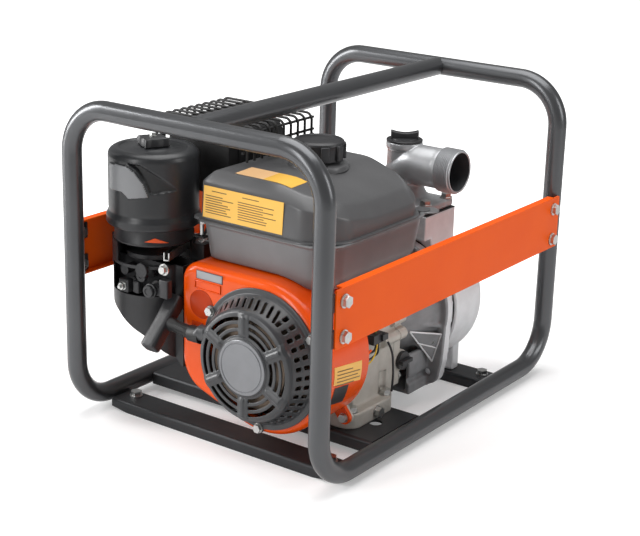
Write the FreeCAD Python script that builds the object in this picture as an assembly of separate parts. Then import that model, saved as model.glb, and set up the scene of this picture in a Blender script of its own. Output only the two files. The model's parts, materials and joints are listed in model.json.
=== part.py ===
import FreeCAD, Part
import math
import os

# Gas engine trash pump in a tubular roll frame.
# Frame of the part: +Z up, +X to the machine's right side, -Y the starter side (front),
# +Y the pump side (rear).  The origin is on the ground under the middle of the roll frame.
# All sizes are millimetres.  Each node is written to parts/NODE.step.

V = FreeCAD.Vector

# ------------------------------------------------------------------ roll frame
tube_od = 25.4                # one inch steel tube
tube_wall = 2.0
frame_width = 388.0           # between the centrelines of the two sides
frame_length = 544.0          # between the centrelines of the front and rear hoops
frame_height = 398.0          # between the centrelines of side tubes and top bars
bend_radius = 60.0            # centreline radius of every bend
side_tube_z = 18.0            # centreline of the side tubes above the ground
fit_gap = 0.3                 # clearance of welded and loosely seated pieces

rail_depth = 42.0             # front to back, of the front and rear rails
rail_top_z = 14.5
rail_sheet = 3.0
rail_middle_front = -204.0
rail_middle_rear = 162.0
rail_end_cut = 27.0           # the flanges rise towards the ends over this length
rail_end_rise = 4.0
rail_bolt_inset = 34.0        # bolt centre from the side tube's centreline
rail_bolt_front = -198.0
rail_bolt_rear = 165.0
tab_width = 24.0

plate_top_z = 25.0            # engine plate, a wide channel between the side tubes
plate_front = -142.0
plate_rear = -31.0
plate_flange = 16.5

panel_bottom_z = 190.0        # orange side panels
panel_top_z = 262.0
panel_sheet = 2.0
panel_lip = 11.0
panel_end_inset = 6.0         # panel end from the hoop's centreline
panel_screw_inset = 22.0
panel_screw_low_z = 203.0
panel_screw_high_z = 246.0

m8_shank = 4.0                # radii
m8_hole = 4.3
m8_flange = 8.5
m8_across_flats = 13.0
m8_head = 5.5
m8_nut = 6.0
m6_shank = 3.0
m6_hole = 3.2
thread_end = 1.5              # bolt end beyond its nut

# ------------------------------------------------------------------ engine
crank_x = 68.0
crank_z = 131.0               # 106 above the engine's feet
cylinder_tilt = 25.0          # degrees above horizontal, leaning to the machine's left
bore_radius = 34.0
crank_throw = 27.0
rod_length = 84.0
foot_front = -132.0
foot_rear = -30.0
foot_left = -39.0
foot_right = 145.0
foot_thickness = 21.0
foot_hole_left = -96.0        # from the crank axis
foot_hole_right = 66.0
foot_hole_pitch = 75.5
case_radius = 61.0
case_wall = 9.0
case_front = -128.0
case_rear = -20.0
cover_thickness = 16.0
journal_radius = 12.5
bearing_radius = 26.0
bearing_width = 15.0
seal_width = 7.0
running_gap = 0.05

seal_radius = 21.0
cam_radius = 8.0
gear_radius = 20.0            # crank gear; the cam gear is twice as large
gear_front = -46.0
gear_rear = -34.0
cam_offset = 23.0             # cam axis to the left of the crank axis
gear_gap = 0.4
shaft_radius = 9.5            # pump end of the crankshaft
flywheel_bore = 10.0
drain_y = -78.0
drain_z = 36.0
drain_radius = 5.0
plug_y = -82.0                # connector on the crankcase
plug_z = 136.0
drain_hole_x = 151.0
drain_hole_y = -88.0
drain_hole_radius = 8.5
dipstick_y = -3.0
dipstick_z = 80.0
dipstick_radius = 14.0

flywheel_radius = 80.0
flywheel_front = -197.0
flywheel_rear = -170.0
fan_radius = 82.0
fan_front = -212.0
fan_blades = 16
starter_cup_radius = 34.0
starter_cup_front = -226.0

shroud_radius = 99.0
shroud_front = -221.0
shroud_rear = -133.0
shroud_left = -130.0          # left wall from the crank axis
shroud_slope = 19.5           # degrees, the lower left wall below horizontal
shroud_wall = 2.5
shroud_round = 12.0
shroud_ear_angles = (-52, 42)
shroud_plate_front = -141.0

recoil_flange_radius = 90.0
recoil_flange_front = -224.0
recoil_side_radius = 83.0
recoil_face_radius = 69.0
recoil_front = -256.0
recoil_wall = 2.6
badge_radius = 36.5
badge_front = -258.0
reel_radius = 55.0
reel_core_radius = 42.0
rope_radius = 2.25
guide_bore = 7.0
rope_z = 151.0
grip_x = -72.0
grip_y = -238.0
grip_forward = 3.5            # middle of the bar, ahead of the rope
grip_length = 79.0
grip_tilt = 45.0
pull_length = 650.0

post_radius = 8.0             # of the recoil cover, carries the reel
reel_front = -246.0
reel_rear = -230.0
starter_screw_radius = 90.0
starter_screw_angles = (30, 150, 270)
grip_width = 22.0

# ------------------------------------------------------------------ fuel tank
tank_left = -56.0
tank_right = 147.0
tank_front = -196.0
tank_rear = 27.0
tank_bottom_z = 214.0
tank_post_x = 104.0
tank_clearance = 1.5          # over the fan housing and the cylinder fins
tank_round = 22.0             # of the upper and lower edges
tank_seam_z = 279.0
tank_slope_x = 52.0            # the top falls away to the right of this
tank_slope = 19.0              # degrees
tank_top_z = 342.0
tank_wall = 2.5
tank_lip = 4.0
cap_x = 37.5
cap_y = -70.0
cap_radius = 32.5
cap_top_z = 370.0
filler_radius = 20.0
filler_rise = 11.0

# ------------------------------------------------------------------ intake and exhaust
cleaner_x = -132.5
cleaner_y = -190.0
cleaner_radius = 58.0
cleaner_top_z = 359.0
cleaner_seam_z = 241.0
cleaner_low_z = 88.0
housing_radius = 52.5
knob_radius = 20.0
housing_wall = 2.5
housing_right = -70.0
housing_front = -206.0
housing_rear = -154.0
housing_underside = ((-185.5, 182.0), (-180.0, 170.0), (-167.0, 158.0), (-150.0, 150.0),
                     (-137.0, 141.0), (-128.0, 135.0), (-111.0, 125.0), (-101.0, 117.0),
                     (-92.0, 104.0), (-84.0, 93.0), (-72.0, 81.0))
housing_step_z = 216.0        # the housing's front is open above this
housing_gap_x = -150.0
choke_x = -112.0
choke_z = 203.0
cock_x = -92.0
cock_z = 189.0
throttle_x = -108.0
throttle_y = -136.0
throttle_z = 229.0
throttle_tip_x = -80.0
throttle_tip_y = -226.0
governor_x = -88.0
governor_y = -136.0

guard_left = -178.0
guard_right = -24.0
guard_front = -135.0
guard_rear = 0.0
guard_top_z = 388.0
guard_bottom_z = 345.0
guard_wire = 1.75
guard_inset = 4.7             # long wires, inside the arched ones
guard_pitch = 15.0
muffler_top_z = 376.0
muffler_left = -166.0
muffler_right = -66.0

# ------------------------------------------------------------------ pump
pump_plate_front = 62.0       # the bracket's rear plate
pump_plate_rear = 80.0
pump_plate_radius = 90.0
gasket_thickness = 1.0
casing_radius = 95.0
casing_straight_end = 138.0   # the bowl is round behind this
casing_rear = 168.0
casing_wall = 6.0
pump_foot_x = 38.0            # from the crank axis, each side
pump_foot_half = 13.0
rubber_height = 9.0
impeller_radius = 58.0
impeller_front = 98.0
impeller_rear = 124.0
pump_bolt_radius = 80.5
pump_foot_z = 23.0
lug_x = 132.0
lug_z = 43.0
seal_seat_radius = 17.0
volute_radius = 71.2
suction_pad = 46.0
flap_y = 145.0
flap_z = 182.0
drain_plug_z = 30.0
neck_left = 4.0
neck_right = 118.0
neck_front = 64.0
neck_rear = 138.0
neck_top_z = 257.0
elbow_x = 60.0
elbow_y = 94.0
elbow_z = 318.0
elbow_top_z = 350.0
priming_bore = 17.0
elbow_flange = 12.0
pipe_radius = 27.0
port_bore = 22.5
thread_radius = 29.8          # G2 pipe thread, 59.6 outside
thread_length = 24.0
outlet_x = 148.0
priming_radius = 22.0
suction_z = 150.0
suction_end = 236.0


# ------------------------------------------------------------------ helpers
def box(x0, x1, y0, y1, z0, z1):
    """Axis-aligned box between the given limits."""
    return Part.makeBox(x1 - x0, y1 - y0, z1 - z0, V(x0, y0, z0))


def rod_x(radius, y, z, x0, x1):
    return Part.makeCylinder(radius, x1 - x0, V(x0, y, z), V(1, 0, 0))


def rod_y(radius, x, z, y0, y1):
    return Part.makeCylinder(radius, y1 - y0, V(x, y0, z), V(0, 1, 0))


def rod_z(radius, x, y, z0, z1):
    return Part.makeCylinder(radius, z1 - z0, V(x, y, z0), V(0, 0, 1))


def ring_y(outer, inner, x, z, y0, y1):
    return rod_y(outer, x, z, y0, y1).cut(rod_y(inner, x, z, y0 - 1, y1 + 1))


def ring_z(outer, inner, x, y, z0, z1):
    return rod_z(outer, x, y, z0, z1).cut(rod_z(inner, x, y, z0 - 1, z1 + 1))


def cone_y(x, z, y0, r0, y1, r1):
    """Cone frustum along Y from radius r0 at y0 to radius r1 at y1."""
    return Part.makeCone(r0, r1, y1 - y0, V(x, y0, z), V(0, 1, 0))


def turned_z(points, x, y):
    """Solid of revolution about a vertical axis from (radius, z) points."""
    wire = Part.makePolygon([V(x + r, y, z) for r, z in points + points[:1]])
    return Part.Face(wire).revolve(V(x, y, 0), V(0, 0, 1), 360)


def turned_y(points, x, z):
    """Solid of revolution about an axis along Y from (radius, y) points."""
    wire = Part.makePolygon([V(x + r, y, z) for r, y in points + points[:1]])
    return Part.Face(wire).revolve(V(x, 0, z), V(0, 1, 0), 360)


def prism_y(points, y0, y1):
    """Extrude an (x, z) polygon along Y."""
    wire = Part.makePolygon([V(x, y0, z) for x, z in points + points[:1]])
    return Part.Face(wire).extrude(V(0, y1 - y0, 0))


def prism_x(points, x0, x1):
    """Extrude a (y, z) polygon along X."""
    wire = Part.makePolygon([V(x0, y, z) for y, z in points + points[:1]])
    return Part.Face(wire).extrude(V(x1 - x0, 0, 0))


def prism_z(points, z0, z1):
    """Extrude an (x, y) polygon along Z."""
    wire = Part.makePolygon([V(x, y, z0) for x, y in points + points[:1]])
    return Part.Face(wire).extrude(V(0, 0, z1 - z0))


def along(edge, direction):
    """True for a straight edge parallel to the direction."""
    if not isinstance(edge.Curve, (Part.Line, Part.LineSegment)):
        return False
    return edge.tangentAt(edge.FirstParameter).cross(direction).Length < 1e-6


def rounded(shape, radius, direction, keep=lambda centre: True):
    """Fillet the straight edges parallel to direction whose centre passes keep."""
    edges = [e for e in shape.Edges if along(e, direction) and keep(e.CenterOfMass)]
    return shape.makeFillet(radius, edges)


def hexagon(across_flats, length):
    """Hexagonal prism standing on the origin along +Z."""
    corner = across_flats / math.sqrt(3)
    turns = [math.radians(60 * i) for i in range(7)]
    wire = Part.makePolygon([V(corner * math.cos(a), corner * math.sin(a), 0) for a in turns])
    return Part.Face(wire).extrude(V(0, 0, length))


def placed(shape, position, direction=V(0, 0, 1)):
    """Move a shape built along +Z to a position, pointing along direction."""
    copy = shape.copy()
    copy.Placement = FreeCAD.Placement(position, FreeCAD.Rotation(V(0, 0, 1), direction))
    return copy


def flange_bolt(shank, length, nut=0.0):
    """Hex flange bolt, head above z = 0, shank below, with a nut under the clamped length."""
    scale = shank / m8_shank
    bolt = Part.makeCylinder(m8_flange * scale, 1.4 * scale)
    bolt = bolt.fuse(hexagon(m8_across_flats * scale, (m8_head + 1.4) * scale))
    depth = length + (nut + thread_end if nut else 0)
    bolt = bolt.fuse(Part.makeCylinder(shank, depth, V(0, 0, -depth)))
    if nut:
        bolt = bolt.fuse(placed(hexagon(m8_across_flats * scale, nut), V(0, 0, -length - nut)))
    return bolt.removeSplitter()


def pipe_along(wire, start, tangent, radius, wall=0.0):
    """Round pipe swept along a wire of lines and tangent arcs."""
    def swept(r):
        profile = Part.Wire(Part.Edge(Part.Circle(start, tangent, r)))
        return wire.makePipeShell([profile], True, False)
    pipe = swept(radius)
    if wall:
        pipe = pipe.cut(swept(radius - wall))
    return pipe


def bent_path(points, radius):
    """Wire through the points, each inner corner rounded by a tangent arc."""
    edges = []
    last = points[0]
    for before, corner, after in zip(points, points[1:], points[2:]):
        back = (before - corner).normalize()
        ahead = (after - corner).normalize()
        half = back.getAngle(ahead) / 2
        setback = radius / math.tan(half)
        start = corner + back * setback
        end = corner + ahead * setback
        bisector = (back + ahead).normalize()
        middle = corner + bisector * (radius / math.sin(half) - radius)
        if (start - last).Length > 1e-6:
            edges.append(Part.LineSegment(last, start).toShape())
        edges.append(Part.Arc(start, middle, end).toShape())
        last = end
    edges.append(Part.LineSegment(last, points[-1]).toShape())
    return Part.Wire(edges)


def bent_pipe(points, bend, radius, wall=0.0):
    tangent = (points[1] - points[0]).normalize()
    return pipe_along(bent_path(points, bend), points[0], tangent, radius, wall)


def group(shapes):
    return Part.makeCompound(shapes)


def save(name, shape):
    shape.exportStep("parts/" + name + ".step")


# ------------------------------------------------------------------ derived places
half_w = frame_width / 2
half_l = frame_length / 2
tube_r = tube_od / 2
top_z = side_tube_z + frame_height
straight_end = half_l - bend_radius
panel_inner_x = half_w + tube_r
panel_outer_x = panel_inner_x + panel_sheet
plate_bottom_z = plate_top_z - rail_sheet
foot_top_z = plate_top_z + foot_thickness
tilt = math.radians(cylinder_tilt)
bore_axis = V(-math.cos(tilt), 0, math.sin(tilt))
bore_up = V(math.sin(tilt), 0, math.cos(tilt))
crank_centre = V(crank_x, (case_front + case_rear) / 2, crank_z)
deck = crank_throw + rod_length + 20.0      # crank axis to head gasket
cover_rear = case_rear + cover_thickness
case_right = crank_x + case_radius
cam_x = crank_x - cam_offset
cam_z = crank_z - math.sqrt((3 * gear_radius + gear_gap) ** 2 - cam_offset ** 2)
port_centre = V(crank_x, 0, crank_z) + bore_axis * (deck + 28)
port_x = port_centre.x
port_z = port_centre.z
filler_top_z = tank_top_z + filler_rise


# ------------------------------------------------------------------ roll frame pieces
def hoop(side):
    """Front (side -1) or rear (side +1) half of the frame: a hoop whose feet turn along the sides."""
    y = side * half_l
    points = [V(-half_w, 0, side_tube_z), V(-half_w, y, side_tube_z), V(-half_w, y, top_z),
              V(half_w, y, top_z), V(half_w, y, side_tube_z), V(half_w, 0, side_tube_z)]
    tube = bent_pipe(points, bend_radius, tube_r, tube_wall)
    for hand in (-1, 1):
        leg = rod_z(tube_r - 0.2, hand * half_w, y, panel_screw_low_z - 30, panel_screw_high_z + 30)
        for z in (panel_screw_low_z, panel_screw_high_z):
            x = sorted((hand * panel_inner_x, hand * (panel_inner_x - rail_sheet)))
            ys = sorted((y - side * 3.0, y - side * (panel_screw_inset + 12)))
            tab = box(x[0], x[1], ys[0], ys[1], z - 10.5, z + 10.5)
            bore = rod_x(m8_hole, y - side * panel_screw_inset, z, x[0] - 1, x[1] + 1)
            tube = tube.fuse(tab.cut(leg).cut(bore))
        tube = tube.fuse(rail_tab(hand, rail_bolt_front if side < 0 else rail_bolt_rear))
    return tube.removeSplitter()


def rail_tab(hand, y):
    """Tab under a rail's end, welded to the side tube."""
    top = rail_top_z - rail_sheet
    xs = sorted((hand * (half_w - 2), hand * (half_w - rail_bolt_inset - 10)))
    tab = box(xs[0], xs[1], y - tab_width / 2, y + tab_width / 2, top - rail_sheet, top)
    tube = rod_y(tube_r - 0.2, hand * half_w, side_tube_z, -straight_end, straight_end)
    return tab.cut(tube).cut(rod_z(m8_hole, hand * (half_w - rail_bolt_inset), y, 0, 20))


def carry_bar():
    """Tube between the middles of the two top bars, its ends cut to saddle them."""
    bar = ring_y(tube_r, tube_r - tube_wall, 0, top_z, -half_l, half_l)
    for y in (-half_l, half_l):
        bar = bar.cut(rod_x(tube_r + fit_gap, y, top_z, -60, 60))
    return bar.Solids[0] if len(bar.Solids) == 1 else max(bar.Solids, key=lambda s: s.Volume)


def channel(x_half, y0, y1, top, height, sheet):
    """Channel along X, open downwards."""
    body = box(-x_half, x_half, y0, y1, top - height, top)
    body = rounded(body, 4.0, V(1, 0, 0), lambda c: c.z > top - 1)
    inner = box(-x_half - 1, x_half + 1, y0 + sheet, y1 - sheet, top - height - 1, top - sheet)
    return body.cut(inner)


def rail(middle, bolt_y):
    x_half = half_w - tube_r - 2.3
    rail_shape = channel(x_half, middle - rail_depth / 2, middle + rail_depth / 2,
                         rail_top_z, rail_top_z, rail_sheet)
    for hand in (-1, 1):
        end = hand * (x_half + 1)
        start = hand * (x_half - rail_end_cut)
        wedge = prism_y([(start, 0), (end, rail_end_rise), (end, -1), (start, -1)],
                        middle - rail_depth, middle + rail_depth)
        bore = rod_z(m8_hole, hand * (half_w - rail_bolt_inset), bolt_y, 0, 30)
        rail_shape = rail_shape.cut(wedge).cut(bore)
    return rail_shape


def rear_rail():
    """Rear rail with the two bolt holes of the pump's feet."""
    shape = rail(rail_middle_rear, rail_bolt_rear)
    for side in (-1, 1):
        shape = shape.cut(rod_z(m8_shank, crank_x + side * pump_foot_x, rail_middle_rear - 3, 0, 30))
    return shape


def engine_plate():
    plate = channel(half_w - tube_r - fit_gap, plate_front, plate_rear, plate_top_z,
                    plate_flange, rail_sheet)
    for x, y in foot_holes():
        plate = plate.cut(rod_z(m8_hole, x, y, 0, 40))
    return plate.cut(rod_z(drain_hole_radius, drain_hole_x, drain_hole_y, 0, 40))


def foot_holes():
    """Centres of the engine's four mounting holes."""
    middle = (foot_front + foot_rear) / 2
    return [(crank_x + dx, middle + sy * foot_hole_pitch / 2)
            for dx in (foot_hole_left, foot_hole_right) for sy in (-1, 1)]


def rail_bolts():
    bolt = flange_bolt(m8_shank, 2 * rail_sheet, m8_nut)
    places = [(hand * (half_w - rail_bolt_inset), y)
              for hand in (-1, 1) for y in (rail_bolt_front, rail_bolt_rear)]
    return [placed(bolt, V(x, y, rail_top_z)) for x, y in places]


def side_panel(hand):
    """Sheet panel outside the legs with its top and bottom lips folded inwards."""
    end = half_l - panel_end_inset
    lip_end = half_l - tube_r - 8.0
    xs = sorted((hand * panel_inner_x, hand * panel_outer_x))
    panel = box(xs[0], xs[1], -end, end, panel_bottom_z, panel_top_z)
    panel = rounded(panel, 3.0, V(1, 0, 0))
    lip_x = sorted((hand * panel_outer_x, hand * (panel_outer_x - panel_lip)))
    for z in (panel_bottom_z, panel_top_z - panel_sheet):
        panel = panel.fuse(box(lip_x[0], lip_x[1], -lip_end, lip_end, z, z + panel_sheet))
    for y, z in panel_holes():
        panel = panel.cut(rod_x(m8_hole, y, z, xs[0] - 1, xs[1] + 1))
    return panel.removeSplitter()


def panel_holes():
    y = half_l - panel_screw_inset
    return [(side * y, z) for side in (-1, 1) for z in (panel_screw_low_z, panel_screw_high_z)]


def panel_bolts():
    bolt = flange_bolt(m8_shank, panel_sheet + rail_sheet, m8_nut)
    return [placed(bolt, V(hand * panel_outer_x, y, z), V(hand, 0, 0))
            for hand in (-1, 1) for y, z in panel_holes()]


def foot_bolts():
    bolt = flange_bolt(m8_shank, foot_thickness + rail_sheet, m8_nut)
    return [placed(bolt, V(x, y, foot_top_z)) for x, y in foot_holes()]




# ------------------------------------------------------------------ engine pieces
def tilted(shape):
    """Turn a shape built on +X from the crank axis so that it lies on the bore axis."""
    copy = shape.copy()
    copy.rotate(V(crank_x, 0, crank_z), V(0, 1, 0), -(180 - cylinder_tilt))
    return copy


def block(d0, d1, half_y, half_up):
    """Box on the bore axis from distance d0 to d1 from the crank axis."""
    y = crank_centre.y
    return tilted(box(crank_x + d0, crank_x + d1, y - half_y, y + half_y,
                      crank_z - half_up, crank_z + half_up))


def on_bore(radius, d0, d1):
    """Cylinder on the bore axis from distance d0 to d1 from the crank axis."""
    return tilted(rod_x(radius, crank_centre.y, crank_z, crank_x + d0, crank_x + d1))


def body_outline(inset, y0, y1):
    """Crankcase outline: round over the crank, square below, with room for the cam gear."""
    left = crank_x - 73 + inset
    right = crank_x + case_radius + 1 - inset
    floor = plate_top_z + inset
    lower = box(left, right, y0, y1, floor, crank_z)
    lower = lower.fuse(rod_y(case_radius - inset, crank_x, crank_z, y0, y1))
    cam_cover = rod_y(26 - inset, crank_x - 47, crank_z, y0, y1)
    return lower.fuse(cam_cover).removeSplitter()


def at_angle(radius, degrees):
    """(x, z) at that radius and angle from the crank axis, seen from the front."""
    a = math.radians(degrees)
    return crank_x + radius * math.cos(a), crank_z + radius * math.sin(a)


def turned(shape, degrees):
    """Turn a shape about the crank axis; positive angles go from +X towards +Z."""
    copy = shape.copy()
    copy.rotate(V(crank_x, 0, crank_z), V(0, 1, 0), -degrees)
    return copy


def shroud_outline(inset, y0, y1):
    """Fan housing outline: a round right side, a flat top and a sloping lower left wall."""
    radius = shroud_radius - inset
    top = crank_z + radius
    left = crank_x + shroud_left + inset
    slope = math.radians(shroud_slope)
    foot = V(crank_x - radius * math.sin(slope), y0, crank_z - radius * math.cos(slope))
    run = (foot.x - left) / math.cos(slope)
    low = V(left, y0, foot.z + run * math.sin(slope))
    up_left = V(-math.cos(slope), 0, math.sin(slope))
    low_set = 33.0 - inset / 2
    high_set = 24.0 - inset
    low_a = low - up_left * low_set
    low_b = low + V(0, 0, low_set)
    half = (math.pi - (math.pi / 2 - slope)) / 2
    low_radius = low_set * math.tan(half)
    centre = low_b + V(low_radius, 0, 0)
    bisector = (low - centre).normalize()
    high_a = V(left, y0, top - high_set)
    high_b = V(left + high_set, y0, top)
    high_centre = V(left + high_set, y0, top - high_set)
    high_mid = high_centre + V(-1, 0, 1).normalize() * high_set
    crown = V(crank_x, y0, top)
    edges = [Part.LineSegment(foot, low_a).toShape(),
             Part.Arc(low_a, centre + bisector * low_radius, low_b).toShape(),
             Part.LineSegment(low_b, high_a).toShape(),
             Part.Arc(high_a, high_mid, high_b).toShape(),
             Part.LineSegment(high_b, crown).toShape(),
             Part.Arc(crown, V(crank_x + radius, y0, crank_z), foot).toShape()]
    return Part.Face(Part.Wire(edges)).extrude(V(0, y1 - y0, 0))


def crankcase():
    body = body_outline(0, case_front, case_rear)
    foot = box(foot_left, foot_right, foot_front, foot_rear, plate_top_z, foot_top_z)
    foot = rounded(foot, 20.0, V(0, 0, 1))
    barrel = block(30, deck, 44, 42)
    for i in range(7):
        d = case_radius + 9 + i * 8
        barrel = barrel.fuse(block(d, d + 3, 53, 50))
    shell = body.fuse(foot).fuse(barrel)
    plate = shroud_outline(shroud_wall + fit_gap, shroud_plate_front, shroud_plate_front + 6)
    plate = plate.cut(box(-50, 4, -160, -100, 140, 215))
    plate = plate.cut(box(100, 140, -160, -100, 190, 230))
    shell = shell.fuse(plate)
    shell = shell.fuse(rod_y(50, crank_x, crank_z, shroud_plate_front, case_front))
    shell = shell.fuse(side_bosses())
    for y in (-104, -44):
        shell = shell.fuse(rod_z(9, tank_post_x, y, crank_z + 20, tank_bottom_z - fit_gap))
    shell = shell.removeSplitter()
    shell = shell.cut(body_outline(case_wall, case_front + 16, case_rear + 1))
    shell = shell.cut(on_bore(bore_radius, 30, deck + 1))
    shell = shell.cut(rod_y(52, crank_x, crank_z, case_front + 16, case_rear + 1))
    shell = shell.cut(rod_y(bearing_radius, crank_x, crank_z, case_front + 1, case_front + 17))
    shell = shell.cut(rod_y(journal_radius + 2, crank_x, crank_z, -150, case_front + 2))
    shell = shell.cut(rod_y(seal_radius, crank_x, crank_z, -150, shroud_plate_front + seal_width))
    shell = shell.cut(rod_y(cam_radius + running_gap, cam_x, cam_z, case_front + 6, case_front + 17))
    for x, y in foot_holes():
        shell = shell.cut(rod_z(m8_hole, x, y, 20, 60))
        shell = shell.cut(rod_z(10, x, y, foot_top_z, foot_top_z + 30))
    shell = shell.cut(drain_thread())
    for ear in shroud_ears(shroud_rear + fit_gap, shroud_rear + 5, 9.0):
        link = shroud_outline(shroud_wall + fit_gap, shroud_plate_front, shroud_rear + 5)
        shell = shell.fuse(ear).fuse(link.common(ear_zone(ear)))
    for angle in shroud_ear_angles:
        x, z = at_angle(shroud_radius + 11, angle)
        shell = shell.cut(rod_y(m6_hole, x, z, shroud_rear, shroud_rear + 6))
    for x, z in cover_bolt_places():
        shell = shell.cut(rod_y(m6_hole, x, z, case_rear - 8, case_rear + 1))
    return shell.removeSplitter()


def ear_zone(ear):
    """Box round an ear, reaching in to the back plate."""
    b = ear.BoundBox
    return box(b.XMin - 8, b.XMax, -200, 0, b.ZMin - 8, b.ZMax + 8)


def side_bosses():
    """Cast bosses on the right wall: two bolt bosses, the connector pad and the drain boss."""
    bosses = rod_y(8.5, case_right + 3, crank_z - 11, -54, case_rear)
    bosses = bosses.fuse(rod_y(7, case_right + 1, crank_z + 9, -30, case_rear))
    bosses = bosses.fuse(box(case_right - 12, case_right + 6, plug_y - 15, plug_y + 15,
                             plug_z - 8, plug_z + 8))
    return bosses.fuse(rod_x(drain_radius + 5, drain_y, drain_z, case_right - 8, foot_right))


def drain_thread():
    return rod_x(drain_radius, drain_y, drain_z, case_right - 10, foot_right + 1)


def shroud_ears(y0, y1, radius):
    """Round ears outside the fan housing, with their screw holes."""
    ears = []
    for angle in shroud_ear_angles:
        x, z = at_angle(shroud_radius + 11, angle)
        ear = rod_y(radius, x, z, y0, y1)
        neck = turned(box(crank_x + shroud_radius - 6, crank_x + shroud_radius + 11, y0, y1,
                          crank_z - radius, crank_z + radius), angle)
        ears.append(ear.fuse(neck).cut(rod_y(m6_hole, x, z, y0 - 1, y1 + 1)))
    return ears


def crankcase_cover():
    cover = body_outline(0, case_rear, cover_rear)
    cover = cover.cut(box(-50, 200, -50, 50, 0, foot_top_z + 0.3))
    cover = cover.fuse(rod_y(34, crank_x, crank_z, cover_rear - 2, cover_rear + 8))
    cover = cover.fuse(rod_y(8.5, case_right + 3, crank_z - 11, case_rear, cover_rear + 1))
    cover = cover.fuse(rod_y(7, case_right + 1, crank_z + 9, case_rear, cover_rear + 2))
    cover = cover.fuse(rod_x(dipstick_radius, dipstick_y, dipstick_z, case_right - 16, case_right + 2)
                       .cut(box(0, 200, -50, case_rear, 0, 200)))
    cover = cover.removeSplitter()
    cover = cover.cut(rod_y(bearing_radius, crank_x, crank_z, case_rear - 1, case_rear + bearing_width))
    cover = cover.cut(rod_y(journal_radius + 2, crank_x, crank_z, case_rear, cover_rear + 9))
    cover = cover.cut(rod_y(seal_radius, crank_x, crank_z, cover_rear + 8 - seal_width, cover_rear + 9))
    cover = cover.cut(rod_y(cam_radius + running_gap, cam_x, cam_z, case_rear - 1, case_rear + 9))
    cover = cover.cut(rod_x(7, dipstick_y, dipstick_z, case_right - 21, case_right + 3))
    cover = cover.cut(rod_y(5, case_right - 18, dipstick_z, case_rear - 1, dipstick_y))
    for x, z in cover_bolt_places():
        cover = cover.cut(rod_y(m6_hole, x, z, case_rear - 1, cover_rear + 1))
    return cover


def cover_bolt_places():
    """(x, z) of the crankcase cover's screws."""
    places = [at_angle(case_radius - 5, a) for a in (100, 62, 22, -22, 150)]
    return places + [(case_right - 5, crank_z - 75), (crank_x - 68, crank_z - 47), (crank_x - 68, crank_z - 75)]


def cover_bolts():
    bolt = flange_bolt(m6_shank, cover_thickness + 7)
    return [placed(bolt, V(x, cover_rear, z), V(0, 1, 0)) for x, z in cover_bolt_places()]


def cylinder_head():
    head = block(deck + 1, deck + 45, 42, 40)
    for i in range(4):
        head = head.fuse(block(deck + 6 + i * 9, deck + 9 + i * 9, 50, 48))
    head = head.fuse(port_stub(-1)).fuse(port_stub(1)).removeSplitter()
    head = head.cut(on_bore(bore_radius - 1, deck, deck + 9))
    head = head.cut(port_bore_hole(-1)).cut(port_bore_hole(1))
    return head.cut(plug_cylinder(6, 26, 40)).cut(plug_cylinder(3, -1, 30))


def port_stub(side):
    """Pad where the carburettor (side -1) or the exhaust (side +1) bolts to the head."""
    y = crank_centre.y
    ys = sorted((y + side * 40, y + side * 54))
    return box(port_x - 18, port_x + 18, ys[0], ys[1], port_z - 18, port_z + 18)


def port_bore_hole(side):
    y = crank_centre.y
    ys = sorted((y + side * 22, y + side * 60))
    return rod_y(10, port_x, port_z, ys[0], ys[1])


def rocker_cover():
    outer = block(deck + 45.5, deck + 80, 34, 34)
    outer = rounded(outer, 9.0, bore_axis)
    return outer.cut(block(deck + 45, deck + 77.5, 31, 31))


def piston():
    pin = crank_throw + rod_length
    body = on_bore(bore_radius - running_gap, pin - 18, deck - 0.6)
    body = body.cut(on_bore(bore_radius - 5, pin - 19, pin + 12))
    y = crank_centre.y
    bosses = rod_y(10, crank_x, crank_z, y - 30, y - 12).fuse(rod_y(10, crank_x, crank_z, y + 12, y + 30))
    bosses = bosses.cut(rod_y(6, crank_x, crank_z, y - 40, y + 40))
    bosses.translate(bore_axis * pin)
    return body.fuse(bosses).removeSplitter()


def crankshaft():
    y = crank_centre.y
    pin_centre = V(crank_x, 0, crank_z) + bore_axis * crank_throw
    shaft = rod_y(flywheel_bore, crank_x, crank_z, fan_front - 6, flywheel_rear)
    shaft = shaft.fuse(rod_y(journal_radius, crank_x, crank_z, flywheel_rear, y - 26))
    shaft = shaft.fuse(rod_y(42, crank_x, crank_z, y - 26, y - 9))
    shaft = shaft.fuse(rod_y(13.5, pin_centre.x, pin_centre.z, y - 9, y + 9))
    shaft = shaft.fuse(rod_y(42, crank_x, crank_z, y + 9, y + 26))
    shaft = shaft.fuse(rod_y(journal_radius, crank_x, crank_z, y + 26, 8))
    shaft = shaft.fuse(rod_y(gear_radius, crank_x, crank_z, gear_front, gear_rear))
    shaft = shaft.fuse(rod_y(shaft_radius, crank_x, crank_z, 8, impeller_rear - 6))
    return shaft.removeSplitter()


def camshaft():
    front = case_front + 7
    rear = case_rear + 8
    shaft = rod_y(cam_radius, cam_x, cam_z, front, rear)
    shaft = shaft.fuse(rod_y(2 * gear_radius, cam_x, cam_z, gear_front, gear_rear))
    for y, angle in ((-106, 20), (-62, 130)):
        a = math.radians(angle)
        base = rod_y(10, cam_x, cam_z, y, y + 8)
        nose = rod_y(5, cam_x + 9 * math.cos(a), cam_z + 9 * math.sin(a), y, y + 8)
        shaft = shaft.fuse(base).fuse(nose)
    return shaft.removeSplitter()


def main_bearings():
    front = ring_y(bearing_radius, journal_radius + running_gap, crank_x, crank_z,
                   case_front + 1, case_front + 16)
    rear = ring_y(bearing_radius, journal_radius + running_gap, crank_x, crank_z,
                  case_rear, case_rear + bearing_width)
    return group([front, rear])


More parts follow.
